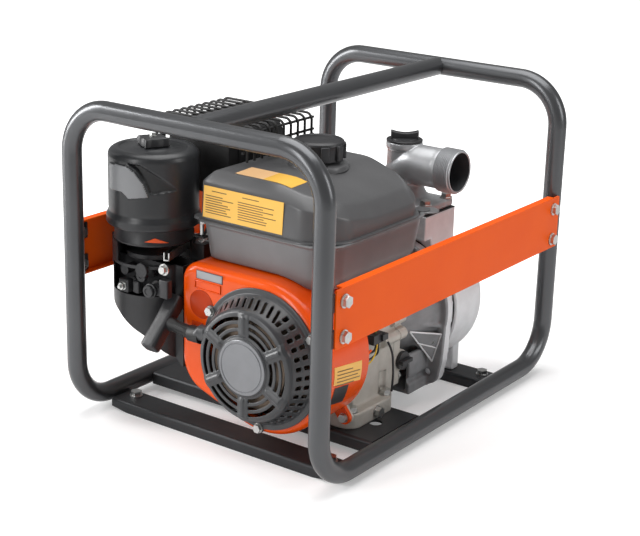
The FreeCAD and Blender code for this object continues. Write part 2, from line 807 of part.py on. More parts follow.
def flywheel():
    wheel = rod_y(flywheel_radius, crank_x, crank_z, flywheel_front, flywheel_rear)
    wheel = wheel.cut(ring_y(flywheel_radius - 14, 24, crank_x, crank_z,
                             flywheel_front + 9, flywheel_rear + 1))
    return wheel.cut(rod_y(flywheel_bore, crank_x, crank_z, -250, -100))


def cooling_fan():
    disc = ring_y(fan_radius, flywheel_bore, crank_x, crank_z, flywheel_front - 3, flywheel_front)
    disc = disc.fuse(ring_y(starter_cup_radius, starter_cup_radius - 4, crank_x, crank_z,
                            fan_front, flywheel_front - 3))
    for i in range(fan_blades):
        blade = box(crank_x + 52, crank_x + fan_radius - 1, fan_front, flywheel_front - 3,
                    crank_z - 1.2, crank_z + 1.2)
        blade.rotate(V(crank_x + 60, 0, crank_z), V(0, 1, 0), 25)
        blade.rotate(V(crank_x, 0, crank_z), V(0, 1, 0), i * 360 / fan_blades)
        disc = disc.fuse(blade)
    return disc.removeSplitter()


def starter_cup():
    cup = rod_y(starter_cup_radius, crank_x, crank_z, starter_cup_front, fan_front)
    cup = cup.cut(rod_y(starter_cup_radius - 3, crank_x, crank_z, starter_cup_front - 1, fan_front - 4))
    cup = cup.cut(rod_y(flywheel_bore, crank_x, crank_z, starter_cup_front - 1, fan_front + 1))
    nut = placed(hexagon(22, 8), V(crank_x, fan_front - 4, crank_z), V(0, -1, 0))
    nut = nut.cut(rod_y(flywheel_bore, crank_x, crank_z, -260, fan_front))
    return cup.fuse(nut).removeSplitter()


def ignition_coil():
    """Coil on two cores that face the flywheel, on posts from the fan housing's back plate."""
    middle = (flywheel_front + flywheel_rear) / 2
    y0, y1 = middle - 9, middle + 9
    coil = box(crank_x - 17, crank_x + 17, y0, y1, crank_z + flywheel_radius + 5.5, crank_z + 93)
    for dx in (-26, 20):
        leg = box(crank_x + dx, crank_x + dx + 6, middle - 6, middle + 6,
                  crank_z + flywheel_radius + 1.0, crank_z + 90)
        coil = coil.fuse(leg)
    bar = box(crank_x - 26, crank_x + 26, middle - 6, middle + 6, crank_z + 86, crank_z + 90)
    coil = coil.fuse(bar)
    for dx in (-23, 23):
        coil = coil.fuse(rod_y(3, crank_x + dx, crank_z + 87, middle, shroud_plate_front))
    return coil.removeSplitter().common(
        shroud_outline(shroud_wall + 1.5, shroud_front, shroud_plate_front))


def fan_shroud():
    shell = shroud_outline(0, shroud_front, shroud_rear)
    front_edges = [e for e in shell.Edges
                   if abs(e.BoundBox.YMin - shroud_front) < 1e-3 and abs(e.BoundBox.YMax - shroud_front) < 1e-3]
    shell = shell.makeFillet(shroud_round, front_edges)
    inner = shroud_outline(shroud_wall, shroud_front + shroud_wall, shroud_rear + 1)
    inner_front = shroud_front + shroud_wall
    inner_edges = [e for e in inner.Edges
                   if abs(e.BoundBox.YMin - inner_front) < 1e-3 and abs(e.BoundBox.YMax - inner_front) < 1e-3]
    inner = inner.makeFillet(shroud_round - shroud_wall, inner_edges)
    shell = shell.cut(inner)
    shell = shell.cut(rod_y(recoil_flange_radius - 12, crank_x, crank_z, shroud_front - 1, -200))
    for angle in starter_screw_angles:
        x, z = at_angle(starter_screw_radius, angle)
        shell = shell.cut(rod_y(m6_hole, x, z, -260, -200))
    for ear in shroud_ears(shroud_rear - 5, shroud_rear, 9.0):
        shell = shell.fuse(ear.cut(shroud_outline(shroud_wall, shroud_front, shroud_rear + 1)))
    return shell.removeSplitter()


# ------------------------------------------------------------------ recoil starter pieces
def recoil_cover():
    face = recoil_front
    side = recoil_side_radius
    rim = recoil_face_radius
    wall = recoil_wall
    profile = [(0, face), (rim - 6, face), (rim - 1, face + 1.5), (rim + 2, face + 5),
               (side, recoil_flange_front), (recoil_flange_radius, recoil_flange_front),
               (recoil_flange_radius, shroud_front), (side - wall, shroud_front),
               (side - wall, recoil_flange_front), (rim + 2 - wall, face + 6),
               (rim - 2 - wall, face + wall + 1), (rim - 6, face + wall), (0, face + wall)]
    cover = turned_y(profile, crank_x, crank_z)
    cover = cover.fuse(rod_y(badge_radius, crank_x, crank_z, badge_front, face + 1))
    cover = cover.fuse(rod_y(post_radius, crank_x, crank_z, face + 1, reel_rear))
    for angle in (30, 90, 150, 210, 270, 330):
        ridge = box(crank_x + badge_radius + 3, crank_x + rim - 5, face - 1.2, face + 1,
                    crank_z - 2.5, crank_z + 2.5)
        cover = cover.fuse(turned(ridge, angle))
    for angle in starter_screw_angles:
        x, z = at_angle(starter_screw_radius, angle)
        cover = cover.fuse(rod_y(7, x, z, recoil_flange_front, shroud_front))
    guide = rod_x(guide_bore + 3.2, grip_y, rope_z, crank_x - side - 7, crank_x - side + 12)
    cover = cover.fuse(guide).removeSplitter()
    slots = []
    for radius in (42.5, 51.5, 60.5):
        slots.append(ring_y(radius + 2.2, radius - 2.2, crank_x, crank_z, face - 1, face + wall + 1))
    rings = group(slots)
    for angle in (30, 90, 150):
        spoke = box(crank_x - 80, crank_x + 80, face - 2, face + 6, crank_z - 8, crank_z + 8)
        rings = rings.cut(turned(spoke, angle))
    windows = []
    for i in range(19):
        for y in (-246.0, -235.5):
            window = box(crank_x + 60, crank_x + 96, y, y + 7.5, crank_z - 2.6, crank_z + 2.6)
            windows.append(turned(window, -112 + i * 9.3))
    for i in range(8):
        slot = box(crank_x + 60, crank_x + 96, -247, -229, crank_z - 1.4, crank_z + 1.4)
        slot.rotate(V(crank_x + 70, -238, crank_z), V(1, 0, 0), 22)
        windows.append(turned(slot, 100 + i * 7.5))
    cover = cover.cut(rings).cut(group(windows))
    cover = cover.cut(rod_x(guide_bore, grip_y, rope_z, crank_x - side - 8, crank_x - side + 22))
    for angle in starter_screw_angles:
        x, z = at_angle(starter_screw_radius, angle)
        cover = cover.cut(rod_y(m6_hole, x, z, -260, -200))
    return max(cover.Solids, key=lambda s: s.Volume)


def starter_screws():
    bolt = flange_bolt(m6_shank, 10)
    parts = []
    for angle in starter_screw_angles:
        x, z = at_angle(starter_screw_radius, angle)
        parts.append(placed(bolt, V(x, recoil_flange_front, z), V(0, -1, 0)))
    return parts


def recoil_reel():
    reel = rod_y(reel_radius, crank_x, crank_z, reel_front, reel_front + 2)
    reel = reel.fuse(rod_y(reel_radius, crank_x, crank_z, reel_rear - 2, reel_rear))
    reel = reel.fuse(rod_y(reel_core_radius, crank_x, crank_z, reel_front, reel_rear))
    reel = reel.cut(ring_y(reel_core_radius - 4, 14, crank_x, crank_z, reel_front + 3, reel_rear + 1))
    return reel.cut(rod_y(post_radius + running_gap, crank_x, crank_z, -260, -200))


def recoil_spring():
    """Flat spiral spring between the cover and the reel."""
    outer = []
    inner = []
    turns = 5
    for i in range(turns * 24 + 1):
        angle = math.radians(i * 15)
        radius = post_radius + 3 + 24.0 * i / (turns * 24)
        for line, r in ((outer, radius + 0.5), (inner, radius - 0.5)):
            line.append((crank_x + r * math.cos(angle), crank_z + r * math.sin(angle)))
    return prism_y(outer + inner[::-1], recoil_front + recoil_wall + 0.3, reel_front - 0.4)


def starter_rope():
    """Rope from the grip through the guide and round the reel."""
    centre = V(crank_x, grip_y, crank_z)
    wound = reel_core_radius + rope_radius + running_gap
    guide = V(crank_x - recoil_side_radius + 1, grip_y, rope_z)
    away = centre - guide
    reach = math.sqrt(away.Length ** 2 - wound ** 2)
    lift = math.atan2(away.z, away.x) + math.asin(wound / away.Length)
    touch = guide + V(math.cos(lift), 0, math.sin(lift)) * reach
    lead = bent_path([V(grip_x + 4, grip_y, rope_z), guide, touch], 20.0)
    start = math.degrees(math.atan2(touch.z - crank_z, touch.x - crank_x))

    def point(turn):
        a = math.radians(start - turn)
        return V(crank_x + wound * math.cos(a), grip_y, crank_z + wound * math.sin(a))

    coil = [Part.Arc(point(0), point(80), point(160)).toShape(),
            Part.Arc(point(160), point(235), point(310)).toShape()]
    wire = Part.Wire(lead.Edges + coil)
    return pipe_along(wire, V(grip_x + 4, grip_y, rope_z), V(1, 0, 0), rope_radius)


def starter_grip():
    """Bar across the rope with a tapering sleeve towards the guide."""
    half = grip_width / 2
    bar = box(-half, half, -9, 9, -grip_length / 2, grip_length / 2)
    bar = bar.makeFillet(7.0, bar.Edges)
    bar.rotate(V(0, 0, 0), V(1, 0, 0), -grip_tilt)
    bar.translate(V(grip_x, grip_y - grip_forward, rope_z))
    sleeve = Part.makeCone(8.5, 6.5, 34.0, V(grip_x, grip_y, rope_z), V(1, 0, 0))
    sleeve = sleeve.common(box(-200, crank_x - recoil_side_radius - 7.5, -300, 0, 0, 300))
    grip = bar.fuse(sleeve).removeSplitter()
    return grip.cut(rod_x(rope_radius + 0.3, grip_y, rope_z, grip_x + 4, 0))


# ------------------------------------------------------------------ fuel pieces
def tank_block(inset, z0, z1):
    """Plan shape of the tank, its four corners rounded."""
    shape = box(tank_left + inset, tank_right - inset, tank_front + inset, tank_rear - inset, z0, z1)
    up = V(0, 0, 1)
    for x, y, radius in ((tank_right, tank_front, 38.0), (tank_left, tank_front, 24.5),
                         (tank_right, tank_rear, 30.0), (tank_left, tank_rear, 25.0)):
        shape = rounded(shape, radius - inset, up,
                        lambda c: math.hypot(c.x - x, c.y - y) < 12 and abs(c.x - x) < 8)
    return shape


def edges_at(shape, z):
    return [e for e in shape.Edges if abs(e.BoundBox.ZMin - z) < 1e-3 and abs(e.BoundBox.ZMax - z) < 1e-3]


def engine_room(grow):
    """Space under the tank that the fan housing and the cylinder take up."""
    reach = tank_clearance + grow
    fan = shroud_outline(-reach, shroud_front - 20, shroud_rear + reach)
    fins = block(30, deck + 90, 53 + reach, 50 + reach)
    return fan, fins


def fuel_tank_lower():
    """Lower half of the tank, hollowed underneath over the fan housing and the cylinder."""
    shell = tank_block(0, tank_bottom_z, tank_seam_z)
    shell = shell.makeFillet(tank_round, edges_at(shell, tank_bottom_z))
    inner = tank_block(tank_wall, tank_bottom_z + tank_wall, tank_seam_z + 1)
    inner = inner.makeFillet(tank_round - tank_wall, edges_at(inner, tank_bottom_z + tank_wall))
    for room in engine_room(0):
        shell = shell.cut(room)
    for room in engine_room(tank_wall):
        inner = inner.cut(room)
    lip = tank_block(-tank_lip, tank_seam_z - 2.5, tank_seam_z).fuse(tank_ears(tank_seam_z - 2.5, tank_seam_z))
    lip = lip.cut(tank_block(tank_wall, tank_seam_z - 3, tank_seam_z + 1))
    return shell.cut(inner).fuse(lip).removeSplitter()


def tank_ears(z0, z1):
    """Ears at two corners of the seam, where the tank is bolted down."""
    left = rod_z(9, tank_left - 4.5, tank_front + 14, z0, z1)
    return left.fuse(rod_z(15, tank_right - 8, tank_rear + 6, z0, z1))


def above_slope(depth):
    """Space over the falling right part of the tank's top, from that deep under its face."""
    fall = math.radians(tank_slope)
    crest_z = tank_top_z - depth / math.cos(fall)
    left = tank_slope_x - 40
    right = tank_right + 10
    left_z = crest_z + 40 * math.tan(fall)
    right_z = crest_z - (right - tank_slope_x) * math.tan(fall)
    return prism_y([(left, left_z), (right, right_z), (right, left_z)], tank_front - 10, tank_rear + 10)


def fuel_tank_upper():
    shell = tank_block(0, tank_seam_z, tank_top_z)
    shell = shell.makeFillet(tank_round, edges_at(shell, tank_top_z))
    inner = tank_block(tank_wall, tank_seam_z - 1, tank_top_z - tank_wall)
    inner = inner.makeFillet(tank_round - tank_wall, edges_at(inner, tank_top_z - tank_wall))
    shell = shell.cut(above_slope(0))
    inner = inner.cut(above_slope(tank_wall))
    lip = tank_block(-tank_lip, tank_seam_z, tank_seam_z + 1.5)
    lip = lip.fuse(tank_ears(tank_seam_z, tank_seam_z + 1.5))
    shell = shell.fuse(lip).removeSplitter().cut(inner)
    neck = rod_z(filler_radius, cap_x, cap_y, tank_top_z - 3, filler_top_z)
    shell = shell.fuse(neck).removeSplitter()
    return shell.cut(rod_z(filler_radius - 2.5, cap_x, cap_y, tank_top_z - 10, filler_top_z + 1))


def fuel_cap():
    cap = turned_z([(0, cap_top_z), (cap_radius - 3, cap_top_z), (cap_radius, cap_top_z - 3),
                    (cap_radius, tank_top_z + 9), (cap_radius + 2, tank_top_z + 8),
                    (cap_radius + 2, tank_top_z + 2), (filler_radius + running_gap, tank_top_z + 2),
                    (filler_radius + running_gap, filler_top_z + 1.5), (0, filler_top_z + 1.5)], cap_x, cap_y)
    for i in range(8):
        a = math.radians(22.5 + i * 45)
        reach = cap_radius + 2.5
        cap = cap.cut(rod_z(5.5, cap_x + reach * math.cos(a), cap_y + reach * math.sin(a),
                            tank_top_z + 13, cap_top_z + 1))
    return cap


def carburettor():
    y0 = crank_centre.y - 54
    body = rod_y(14, port_x, port_z, y0 - 24, y0 - 3).fuse(
        box(port_x - 14, port_x + 14, y0 - 3, y0, port_z - 18, port_z + 18))
    body = body.fuse(rod_z(7, port_x, y0 - 13, port_z - 18, port_z))
    body = body.fuse(rod_z(11, port_x, y0 - 13, port_z - 42, port_z - 18)).removeSplitter()
    return body.cut(rod_y(9, port_x, port_z, y0 - 30, y0 + 1))


# ------------------------------------------------------------------ air cleaner and controls
def housing_solid(inset, y_end):
    """Outside (inset 0) or inside of the control housing below the air cleaner."""
    plan = rod_z(housing_radius - inset, cleaner_x, cleaner_y, cleaner_low_z - 10, cleaner_seam_z)
    plan = plan.fuse(box(cleaner_x, housing_right - inset, housing_front + inset, y_end,
                         cleaner_low_z - 10, housing_step_z)).removeSplitter()
    profile = [(cleaner_x - housing_radius - 1, cleaner_seam_z)]
    profile += [(x + inset * 0.5, z + inset) for x, z in housing_underside]
    profile += [(housing_right + 9, cleaner_low_z - 8 + inset), (housing_right + 9, cleaner_seam_z)]
    return plan.common(prism_y(profile, -300, y_end))


def control_housing():
    rear = housing_rear
    shell = housing_solid(0, rear).cut(housing_solid(housing_wall, rear + 1))
    opening = box(housing_gap_x, 0, -300, 0, housing_step_z, cleaner_seam_z + 1)
    shell = shell.cut(opening)
    window = box(-166, 0, -300, -211, 176, housing_step_z - 4)
    shell = shell.cut(window)
    back = box(-176, -74, -212, -209, 166, housing_step_z)
    back = back.common(housing_solid(0.5, rear))
    boss_a = rod_y(7, choke_x, choke_z, -216, -209)
    boss_b = rod_y(9, cock_x, cock_z, -216, -209)
    stud = rod_y(5, -146, 184, -215.5, -209).common(housing_solid(0.5, rear))
    shell = shell.fuse(back).fuse(boss_a).fuse(boss_b).fuse(stud)
    shell = shell.fuse(box(-186, -80, -172, -169, 150, 214).common(housing_solid(0.5, rear)))
    shell = shell.removeSplitter()
    shell = shell.cut(duct_box(-fit_gap, 40))
    shell = shell.cut(rod_y(3, choke_x, choke_z, -230, -200))
    return shell.cut(rod_y(3, cock_x, cock_z, -230, -200))


def choke_lever():
    lever = rod_y(6.5, choke_x, choke_z, -221, -216.3)
    lever = lever.fuse(box(choke_x - 34, choke_x, -220.5, -217, choke_z - 4, choke_z + 4))
    lever = lever.fuse(rod_y(6.5, choke_x - 34, choke_z, -232, -217))
    return lever.fuse(rod_y(3 - running_gap, choke_x, choke_z, -217, -208)).removeSplitter()


def fuel_cock_lever():
    lever = rod_y(10, cock_x, cock_z, -230, -216.3)
    lever = lever.fuse(box(cock_x - 5, cock_x + 21, -240, -229, cock_z - 5, cock_z + 5))
    return lever.fuse(rod_y(3 - running_gap, cock_x, cock_z, -217, -208)).removeSplitter()


def control_bracket():
    """Plate on the front of the cylinder head that carries the throttle and governor levers."""
    face = crank_centre.y - 50
    plate = box(throttle_x - 14, throttle_x + 34, face - 22, face - 0.3, throttle_z - 6, throttle_z - 3)
    plate = plate.fuse(box(throttle_x - 14, throttle_x + 12, face - 3, face - 0.3, throttle_z - 30, throttle_z - 3))
    plate = plate.fuse(rod_z(3, throttle_x, throttle_y, throttle_z - 12, throttle_z + 7))
    plate = plate.fuse(placed(hexagon(10, 5), V(throttle_x, throttle_y, throttle_z - 0.6)))
    plate = plate.removeSplitter()
    return plate.cut(rod_z(3.0, governor_x, governor_y, throttle_z - 20, throttle_z + 2))


def throttle_lever():
    """Folded channel that turns on a bolt behind the air cleaner."""
    reach = math.hypot(throttle_tip_x - throttle_x, throttle_tip_y - throttle_y)
    bar = box(-6, reach, -4, 4, -2.7, 8)
    bar = bar.cut(box(-7, reach + 1, -2.5, 2.5, -0.9, 9)).fuse(Part.makeCylinder(9, 1.8, V(0, 0, -2.7)))
    bar = bar.removeSplitter().cut(Part.makeCylinder(3 + running_gap, 20, V(0, 0, -9)))
    bar = bar.cut(Part.makeCylinder(7, 20, V(0, 0, -0.9)))
    angle = math.degrees(math.atan2(throttle_tip_y - throttle_y, throttle_tip_x - throttle_x))
    bar.rotate(V(0, 0, 0), V(0, 0, 1), angle)
    bar.translate(V(throttle_x, throttle_y, throttle_z))
    return bar


def governor_arm():
    arm = rod_z(3 - running_gap, governor_x, governor_y, throttle_z - 10, throttle_z)
    arm = arm.fuse(rod_z(6, governor_x, governor_y, throttle_z - 2.7, throttle_z + 1))
    arm = arm.fuse(box(governor_x, governor_x + 24, governor_y - 4, governor_y + 4,
                       throttle_z - 2.7, throttle_z - 0.7))
    return arm.removeSplitter()


def duct_box(inset, rise):
    """Duct from the air cleaner down to the carburettor."""
    y = crank_centre.y
    return box(port_x - 16 + inset, port_x + 8 - inset, y - 94 + inset, y - 78.3 - inset,
               port_z - 14 + inset, cleaner_seam_z + rise)


def air_cleaner_base():
    base = rod_z(cleaner_radius, cleaner_x, cleaner_y, cleaner_seam_z, cleaner_seam_z + 4)
    base = base.fuse(duct_box(0, 1)).fuse(ring_z(29, 26, cleaner_x, cleaner_y, cleaner_seam_z, cleaner_seam_z + 12))
    base = base.fuse(rod_z(3, cleaner_x, cleaner_y, cleaner_seam_z, cleaner_top_z + 14)).removeSplitter()
    base = base.cut(duct_box(3, 5))
    return base.cut(rod_y(9, port_x, port_z, crank_centre.y - 82, crank_centre.y - 77))


def air_cleaner_cover():
    r = cleaner_radius
    wall = 2.5
    low = cleaner_seam_z + 4
    outer = turned_z([(0, low), (r + 1, low), (r + 3, low + 4), (r + 2, low + 10), (r, low + 13),
                      (r, cleaner_top_z - 9), (r - 2.5, cleaner_top_z - 2.5), (r - 9, cleaner_top_z),
                      (0, cleaner_top_z)], cleaner_x, cleaner_y)
    inner = rod_z(r - wall, cleaner_x, cleaner_y, low - 1, cleaner_top_z - 2 * wall)
    return outer.cut(inner).cut(rod_z(3.3, cleaner_x, cleaner_y, low, cleaner_top_z + 5))


def air_filter_element():
    return ring_z(45, 29.3, cleaner_x, cleaner_y, cleaner_seam_z + 4, cleaner_top_z - 8)


def air_cleaner_knob():
    hub = rod_z(knob_radius, cleaner_x, cleaner_y, cleaner_top_z + 0.3, cleaner_top_z + 7)
    hub = hub.fuse(rod_z(11, cleaner_x, cleaner_y, cleaner_top_z + 0.3, cleaner_top_z + 13))
    wing = box(cleaner_x - 27, cleaner_x + 27, cleaner_y - 5, cleaner_y + 5,
               cleaner_top_z + 3, cleaner_top_z + 19)
    wing = rounded(wing, 4.5, V(0, 0, 1))
    knob = hub.fuse(wing).removeSplitter()
    knob = knob.cut(rod_z(6.5, cleaner_x, cleaner_y, cleaner_top_z + 14, cleaner_top_z + 25))
    return knob.cut(rod_z(3 + running_gap, cleaner_x, cleaner_y, cleaner_top_z, cleaner_top_z + 20))


# ------------------------------------------------------------------ exhaust pieces
def muffler():
    body = box(muffler_left, muffler_right, -122, -8, 290, muffler_top_z)
    body = rounded(body, 22.0, V(0, 1, 0))
    for y in (-100, -65, -30):
        rib = box(muffler_left - 1.5, muffler_right + 1.5, y - 2, y + 2, 288.5, muffler_top_z + 1.5)
        body = body.fuse(rounded(rib, 23.0, V(0, 1, 0)))
    body = body.fuse(rod_z(14, port_x - 14, crank_centre.y + 68, port_z, 292))
    body = body.fuse(rod_y(14, port_x - 14, port_z, crank_centre.y + 54.3, crank_centre.y + 68))
    reach = guard_inset + guard_wire + fit_gap
    for x0, x1 in ((guard_left + reach, muffler_left), (muffler_right, guard_right - reach)):
        body = body.fuse(box(x0, x1, -72, -63, guard_bottom_z + 10.5, guard_bottom_z + 13.5))
    return body.removeSplitter()


def muffler_guard():
    """Welded wire guard: arched wires across, straight wires along."""
    wires = []
    r = guard_wire
    count = int(round((guard_rear - guard_front) / guard_pitch))
    for i in range(count + 1):
        y = guard_front + i * guard_pitch
        points = [V(guard_right - r, y, guard_bottom_z), V(guard_right - r, y, guard_top_z - r),
                  V(guard_left + r, y, guard_top_z - r), V(guard_left + r, y, guard_bottom_z)]
        wires.append(bent_pipe(points, 9.0, r))
    inside = guard_inset
    for x, z in ((guard_right - r - inside / 1.4, guard_top_z - 8), (guard_right - inside, guard_top_z - 24),
                 (guard_right - inside, guard_bottom_z + 12), (guard_left + inside, guard_bottom_z + 12),
                 (guard_left + inside, guard_top_z - 24), (-60, guard_top_z - inside),
                 (-100, guard_top_z - inside), (-140, guard_top_z - inside)):
        wires.append(rod_y(r, x, z, guard_front - 6, guard_rear + 8))
    guard = wires[0]
    for wire in wires[1:]:
        guard = guard.fuse(wire)
    return guard


# ------------------------------------------------------------------ small engine pieces
def oil_drain_bolt():
    bolt = rod_x(drain_radius - running_gap, drain_y, drain_z, case_right + 2, foot_right)
    bolt = bolt.fuse(rod_x(7.6, drain_y, drain_z, foot_right, foot_right + 1.5))
    head = placed(hexagon(12, 6.5), V(foot_right + 1.5, drain_y, drain_z), V(1, 0, 0))
    return bolt.fuse(head).removeSplitter()


def oil_dipstick():
    face = case_right + 2
    cap = rod_x(12.5, dipstick_y, dipstick_z, face + fit_gap, face + 5)
    bar = box(face + 4, face + 11, dipstick_y - 12, dipstick_y + 12, dipstick_z - 2.5, dipstick_z + 2.5)
    cap = cap.fuse(bar.common(rod_x(12.5, dipstick_y, dipstick_z, face, face + 20)))
    cap = cap.fuse(rod_x(7 - running_gap, dipstick_y, dipstick_z, face - 11, face + 1))
    cap = cap.fuse(rod_x(2.5, dipstick_y, dipstick_z, face - 19, face))
    return cap.removeSplitter()


def plug_cylinder(radius, start, length):
    """Cylinder on the spark plug's axis, which runs down from the middle of the head."""
    seat = V(crank_x, crank_centre.y, crank_z) + bore_axis * (deck + 22)
    down = bore_up * -1
    return placed(Part.makeCylinder(radius, length), seat + down * start, down)


def spark_plug():
    """Plug in the underside of the head with its rubber boot."""
    start = 48 + fit_gap
    seat = V(crank_x, crank_centre.y, crank_z) + bore_axis * (deck + 22)
    plug = plug_cylinder(6 - running_gap, 26, start - 25)
    plug = plug.fuse(placed(hexagon(16, 9), seat - bore_up * start, bore_up * -1))
    plug = plug.fuse(plug_cylinder(5, start + 8, 12))
    return plug.fuse(plug_cylinder(10, start + 12, 34)).removeSplitter()


def wire(points, radius):
    return bent_pipe([V(*p) for p in points], 5.0, radius)


def engine_wires():
    """Connector on its pad and the three wires that leave it."""
    out = case_right + 6
    plug = box(out, out + 12, plug_y - 11, plug_y + 13, plug_z - 6, plug_z + 6)
    plug = plug.fuse(box(out + 1, out + 15, plug_y + 5, plug_y + 17, plug_z - 4, plug_z + 4)).removeSplitter()
    coil_wire = wire([(out + 5, plug_y + 4, plug_z - 6), (out + 5, plug_y + 4, plug_z - 18),
                      (out + 5, plug_y - 42, plug_z - 18), (out - 3, shroud_plate_front + 7.5, plug_z - 8)], 1.6)
    lead = wire([(out + 5, plug_y + 10, plug_z - 6), (out + 5, plug_y + 10, plug_z - 24),
                 (out + 2, plug_y - 44, plug_z - 34)], 1.3)
    switch_wire = wire([(out + 3, plug_y + 2, plug_z + 6), (out + 3, plug_y + 2, plug_z + 20),
                        (out - 8, plug_y - 30, plug_z + 44)], 1.3)
    return group([plug, coil_wire, lead, switch_wire])


# ------------------------------------------------------------------ pump pieces
def plate_outline(grow, y0, y1):
    """Pump plate: round above, with a straight right side down to the lug and the foot."""
    r = pump_plate_radius + grow
    shape = rod_y(r, crank_x, crank_z, y0, y1)
    low = pump_foot_z - grow
    points = [(crank_x - r + 2, crank_z), (crank_x - r + 2, crank_z - 62), (crank_x - r + 26, low),
              (lug_x, low), (lug_x + 15 + grow, lug_z - 8), (crank_x + r - 5, crank_z - 70),
              (crank_x + r - 2, crank_z - 22)]
    shape = shape.fuse(prism_y(points, y0, y1))
    return shape.fuse(rod_y(17 + grow, lug_x, lug_z, y0, y1)).removeSplitter()


def pump_bolt_places():
    return [at_angle(pump_bolt_radius, a) for a in (18, 62, 118, 162, 202, 330)]


def pump_bracket():
    """Ribbed casting between the engine and the pump, with the pump's front plate."""
    front = cover_rear
    cone = cone_y(crank_x, crank_z, front, 52, pump_plate_front + 1, 80)
    hollow = cone_y(crank_x, crank_z, front - 1, 45, pump_plate_front + 0.01, 73)
    bracket = cone.cut(hollow).fuse(plate_outline(0, pump_plate_front, pump_plate_rear))
    for angle in (-64, -38, -12, 14, 166, 192, 218, 244):
        rib = prism_z([(crank_x + 50, front + 10), (crank_x + 86, pump_plate_front + 1),
                       (crank_x + 70, pump_plate_front + 1), (crank_x + 49, front + 4)],
                      crank_z - 2.5, crank_z + 2.5)
        bracket = bracket.fuse(turned(rib, angle))
    floor = box(crank_x - 60, lug_x, front + 22, pump_plate_front + 1, pump_foot_z, pump_foot_z + 5)
    wall = box(lug_x - 6.5, lug_x, front + 22, pump_plate_front + 1, pump_foot_z, crank_z - 50)
    bracket = bracket.fuse(floor).fuse(wall.cut(cone))
    for x in (crank_x - 30, crank_x + 30):
        web = box(x - 2.5, x + 2.5, front + 24, pump_plate_front + 1, pump_foot_z, crank_z - 40)
        bracket = bracket.fuse(web.cut(cone))
    bracket = bracket.removeSplitter()
    bracket = bracket.cut(cone_y(crank_x, crank_z, front - 1, 45, pump_plate_front, 73))
    bracket = bracket.cut(cover_boss_zone())
    bracket = bracket.cut(rod_y(11, crank_x, crank_z, 0, 100))
    bracket = bracket.cut(rod_y(seal_seat_radius, crank_x, crank_z, pump_plate_rear - 8, 100))
    bracket = bracket.cut(rod_y(5, lug_x, lug_z, 0, 100))
    for x, z in pump_bolt_places():
        bracket = bracket.cut(rod_y(m8_hole, x, z, 0, 100))
        bracket = bracket.cut(rod_y(m8_flange + 1, x, z, 0, pump_plate_front))
    return max(bracket.Solids, key=lambda s: s.Volume)


def cover_boss_zone():
    """Room for the filler boss and the bolt heads of the crankcase cover."""
    zone = rod_x(dipstick_radius + 2, dipstick_y, dipstick_z, case_right - 20, case_right + 20)
    for shape in cover_bolts():
        b = shape.BoundBox
        zone = zone.fuse(box(b.XMin - 2, b.XMax + 2, cover_rear - 1, b.YMax + 3, b.ZMin - 2, b.ZMax + 2))
    return zone


def pump_casing():
    """Bowl with the discharge neck on top, the check valve seat behind and two feet."""
    y0 = pump_plate_rear + gasket_thickness
    r = casing_radius
    depth = casing_rear - casing_straight_end

    def bowl(inset, start):
        points = [(0, start), (r - inset, start), (r - inset, casing_straight_end)]
        for k in range(1, 10):
            a = math.radians(k * 9)
            points.append(((r - inset) * (0.45 + 0.55 * math.cos(a)),
                           casing_straight_end + (depth - inset) * math.sin(a)))
        return turned_y(points + [(0, casing_rear - inset)], crank_x, crank_z)

    cavity = bowl(casing_wall, y0 - 1)
    casing = bowl(0, y0).cut(cavity)
    added = [box(neck_left, neck_right, y0, neck_rear, crank_z + 60, neck_top_z),
             box(neck_left, neck_right, neck_front, y0 + 1, neck_top_z - 33, neck_top_z),
             rod_y(suction_pad, crank_x, suction_z, casing_rear - 14, casing_rear),
             rod_z(14, crank_x, y0 + 26, drain_plug_z, crank_z - casing_radius + 12)]
    for side in (-1, 1):
        x = crank_x + side * pump_foot_x
        added.append(box(x - pump_foot_half, x + pump_foot_half, rail_middle_rear - 12,
                         rail_middle_rear + 6, rail_top_z, crank_z - 60))
    for piece in added:
        casing = casing.fuse(piece.cut(cavity))
    for x, z in pump_bolt_places():
        casing = casing.fuse(rod_y(9, x, z, y0, y0 + 30))
    casing = casing.fuse(rod_y(suction_pad - 12, crank_x, suction_z, casing_rear - 18, casing_rear - 3))
    for side in (-1, 1):
        x = crank_x + side * 16
        casing = casing.fuse(box(x - 2, x + 2, casing_rear - 26, casing_rear - 16, flap_z - 7, flap_z + 7))
    casing = casing.cut(box(neck_left + 17, neck_right - 17, y0 + 8, neck_rear - 9, crank_z + 70, neck_top_z + 1))
    casing = casing.cut(rod_y(port_bore, crank_x, suction_z, casing_rear - 20, casing_rear + 1))
    casing = casing.cut(rod_x(3 + running_gap, flap_y, flap_z, crank_x - 20, crank_x + 20))
    casing = casing.cut(rod_z(8, crank_x, y0 + 26, 0, crank_z - 60))
    for x, z in pump_bolt_places():
        casing = casing.cut(rod_y(m8_hole, x, z, y0 - 1, y0 + 22))
    for x, y in elbow_bolt_places():
        casing = casing.cut(rod_z(m8_hole, x, y, neck_top_z - 16, neck_top_z + 1))
    for x, y in suction_bolt_places():
        casing = casing.cut(rod_y(m8_hole, x, y, casing_rear - 14, casing_rear + 1))
    for side in (-1, 1):
        casing = casing.cut(rod_z(m8_hole, crank_x + side * pump_foot_x, rail_middle_rear - 3,
                                  0, rail_top_z + 18))
    return max(casing.Solids, key=lambda s: s.Volume)


def elbow_bolt_places():
    return [(x, y) for x in (neck_left + 9, neck_right - 9) for y in (neck_front + 11, neck_rear - 11)]


def suction_bolt_places():
    """(x, z) of the four bolts of the suction flange."""
    reach = suction_pad - 9.3
    return [(crank_x + reach * math.cos(math.radians(a)), suction_z + reach * math.sin(math.radians(a)))
            for a in (45, 135, 225, 315)]


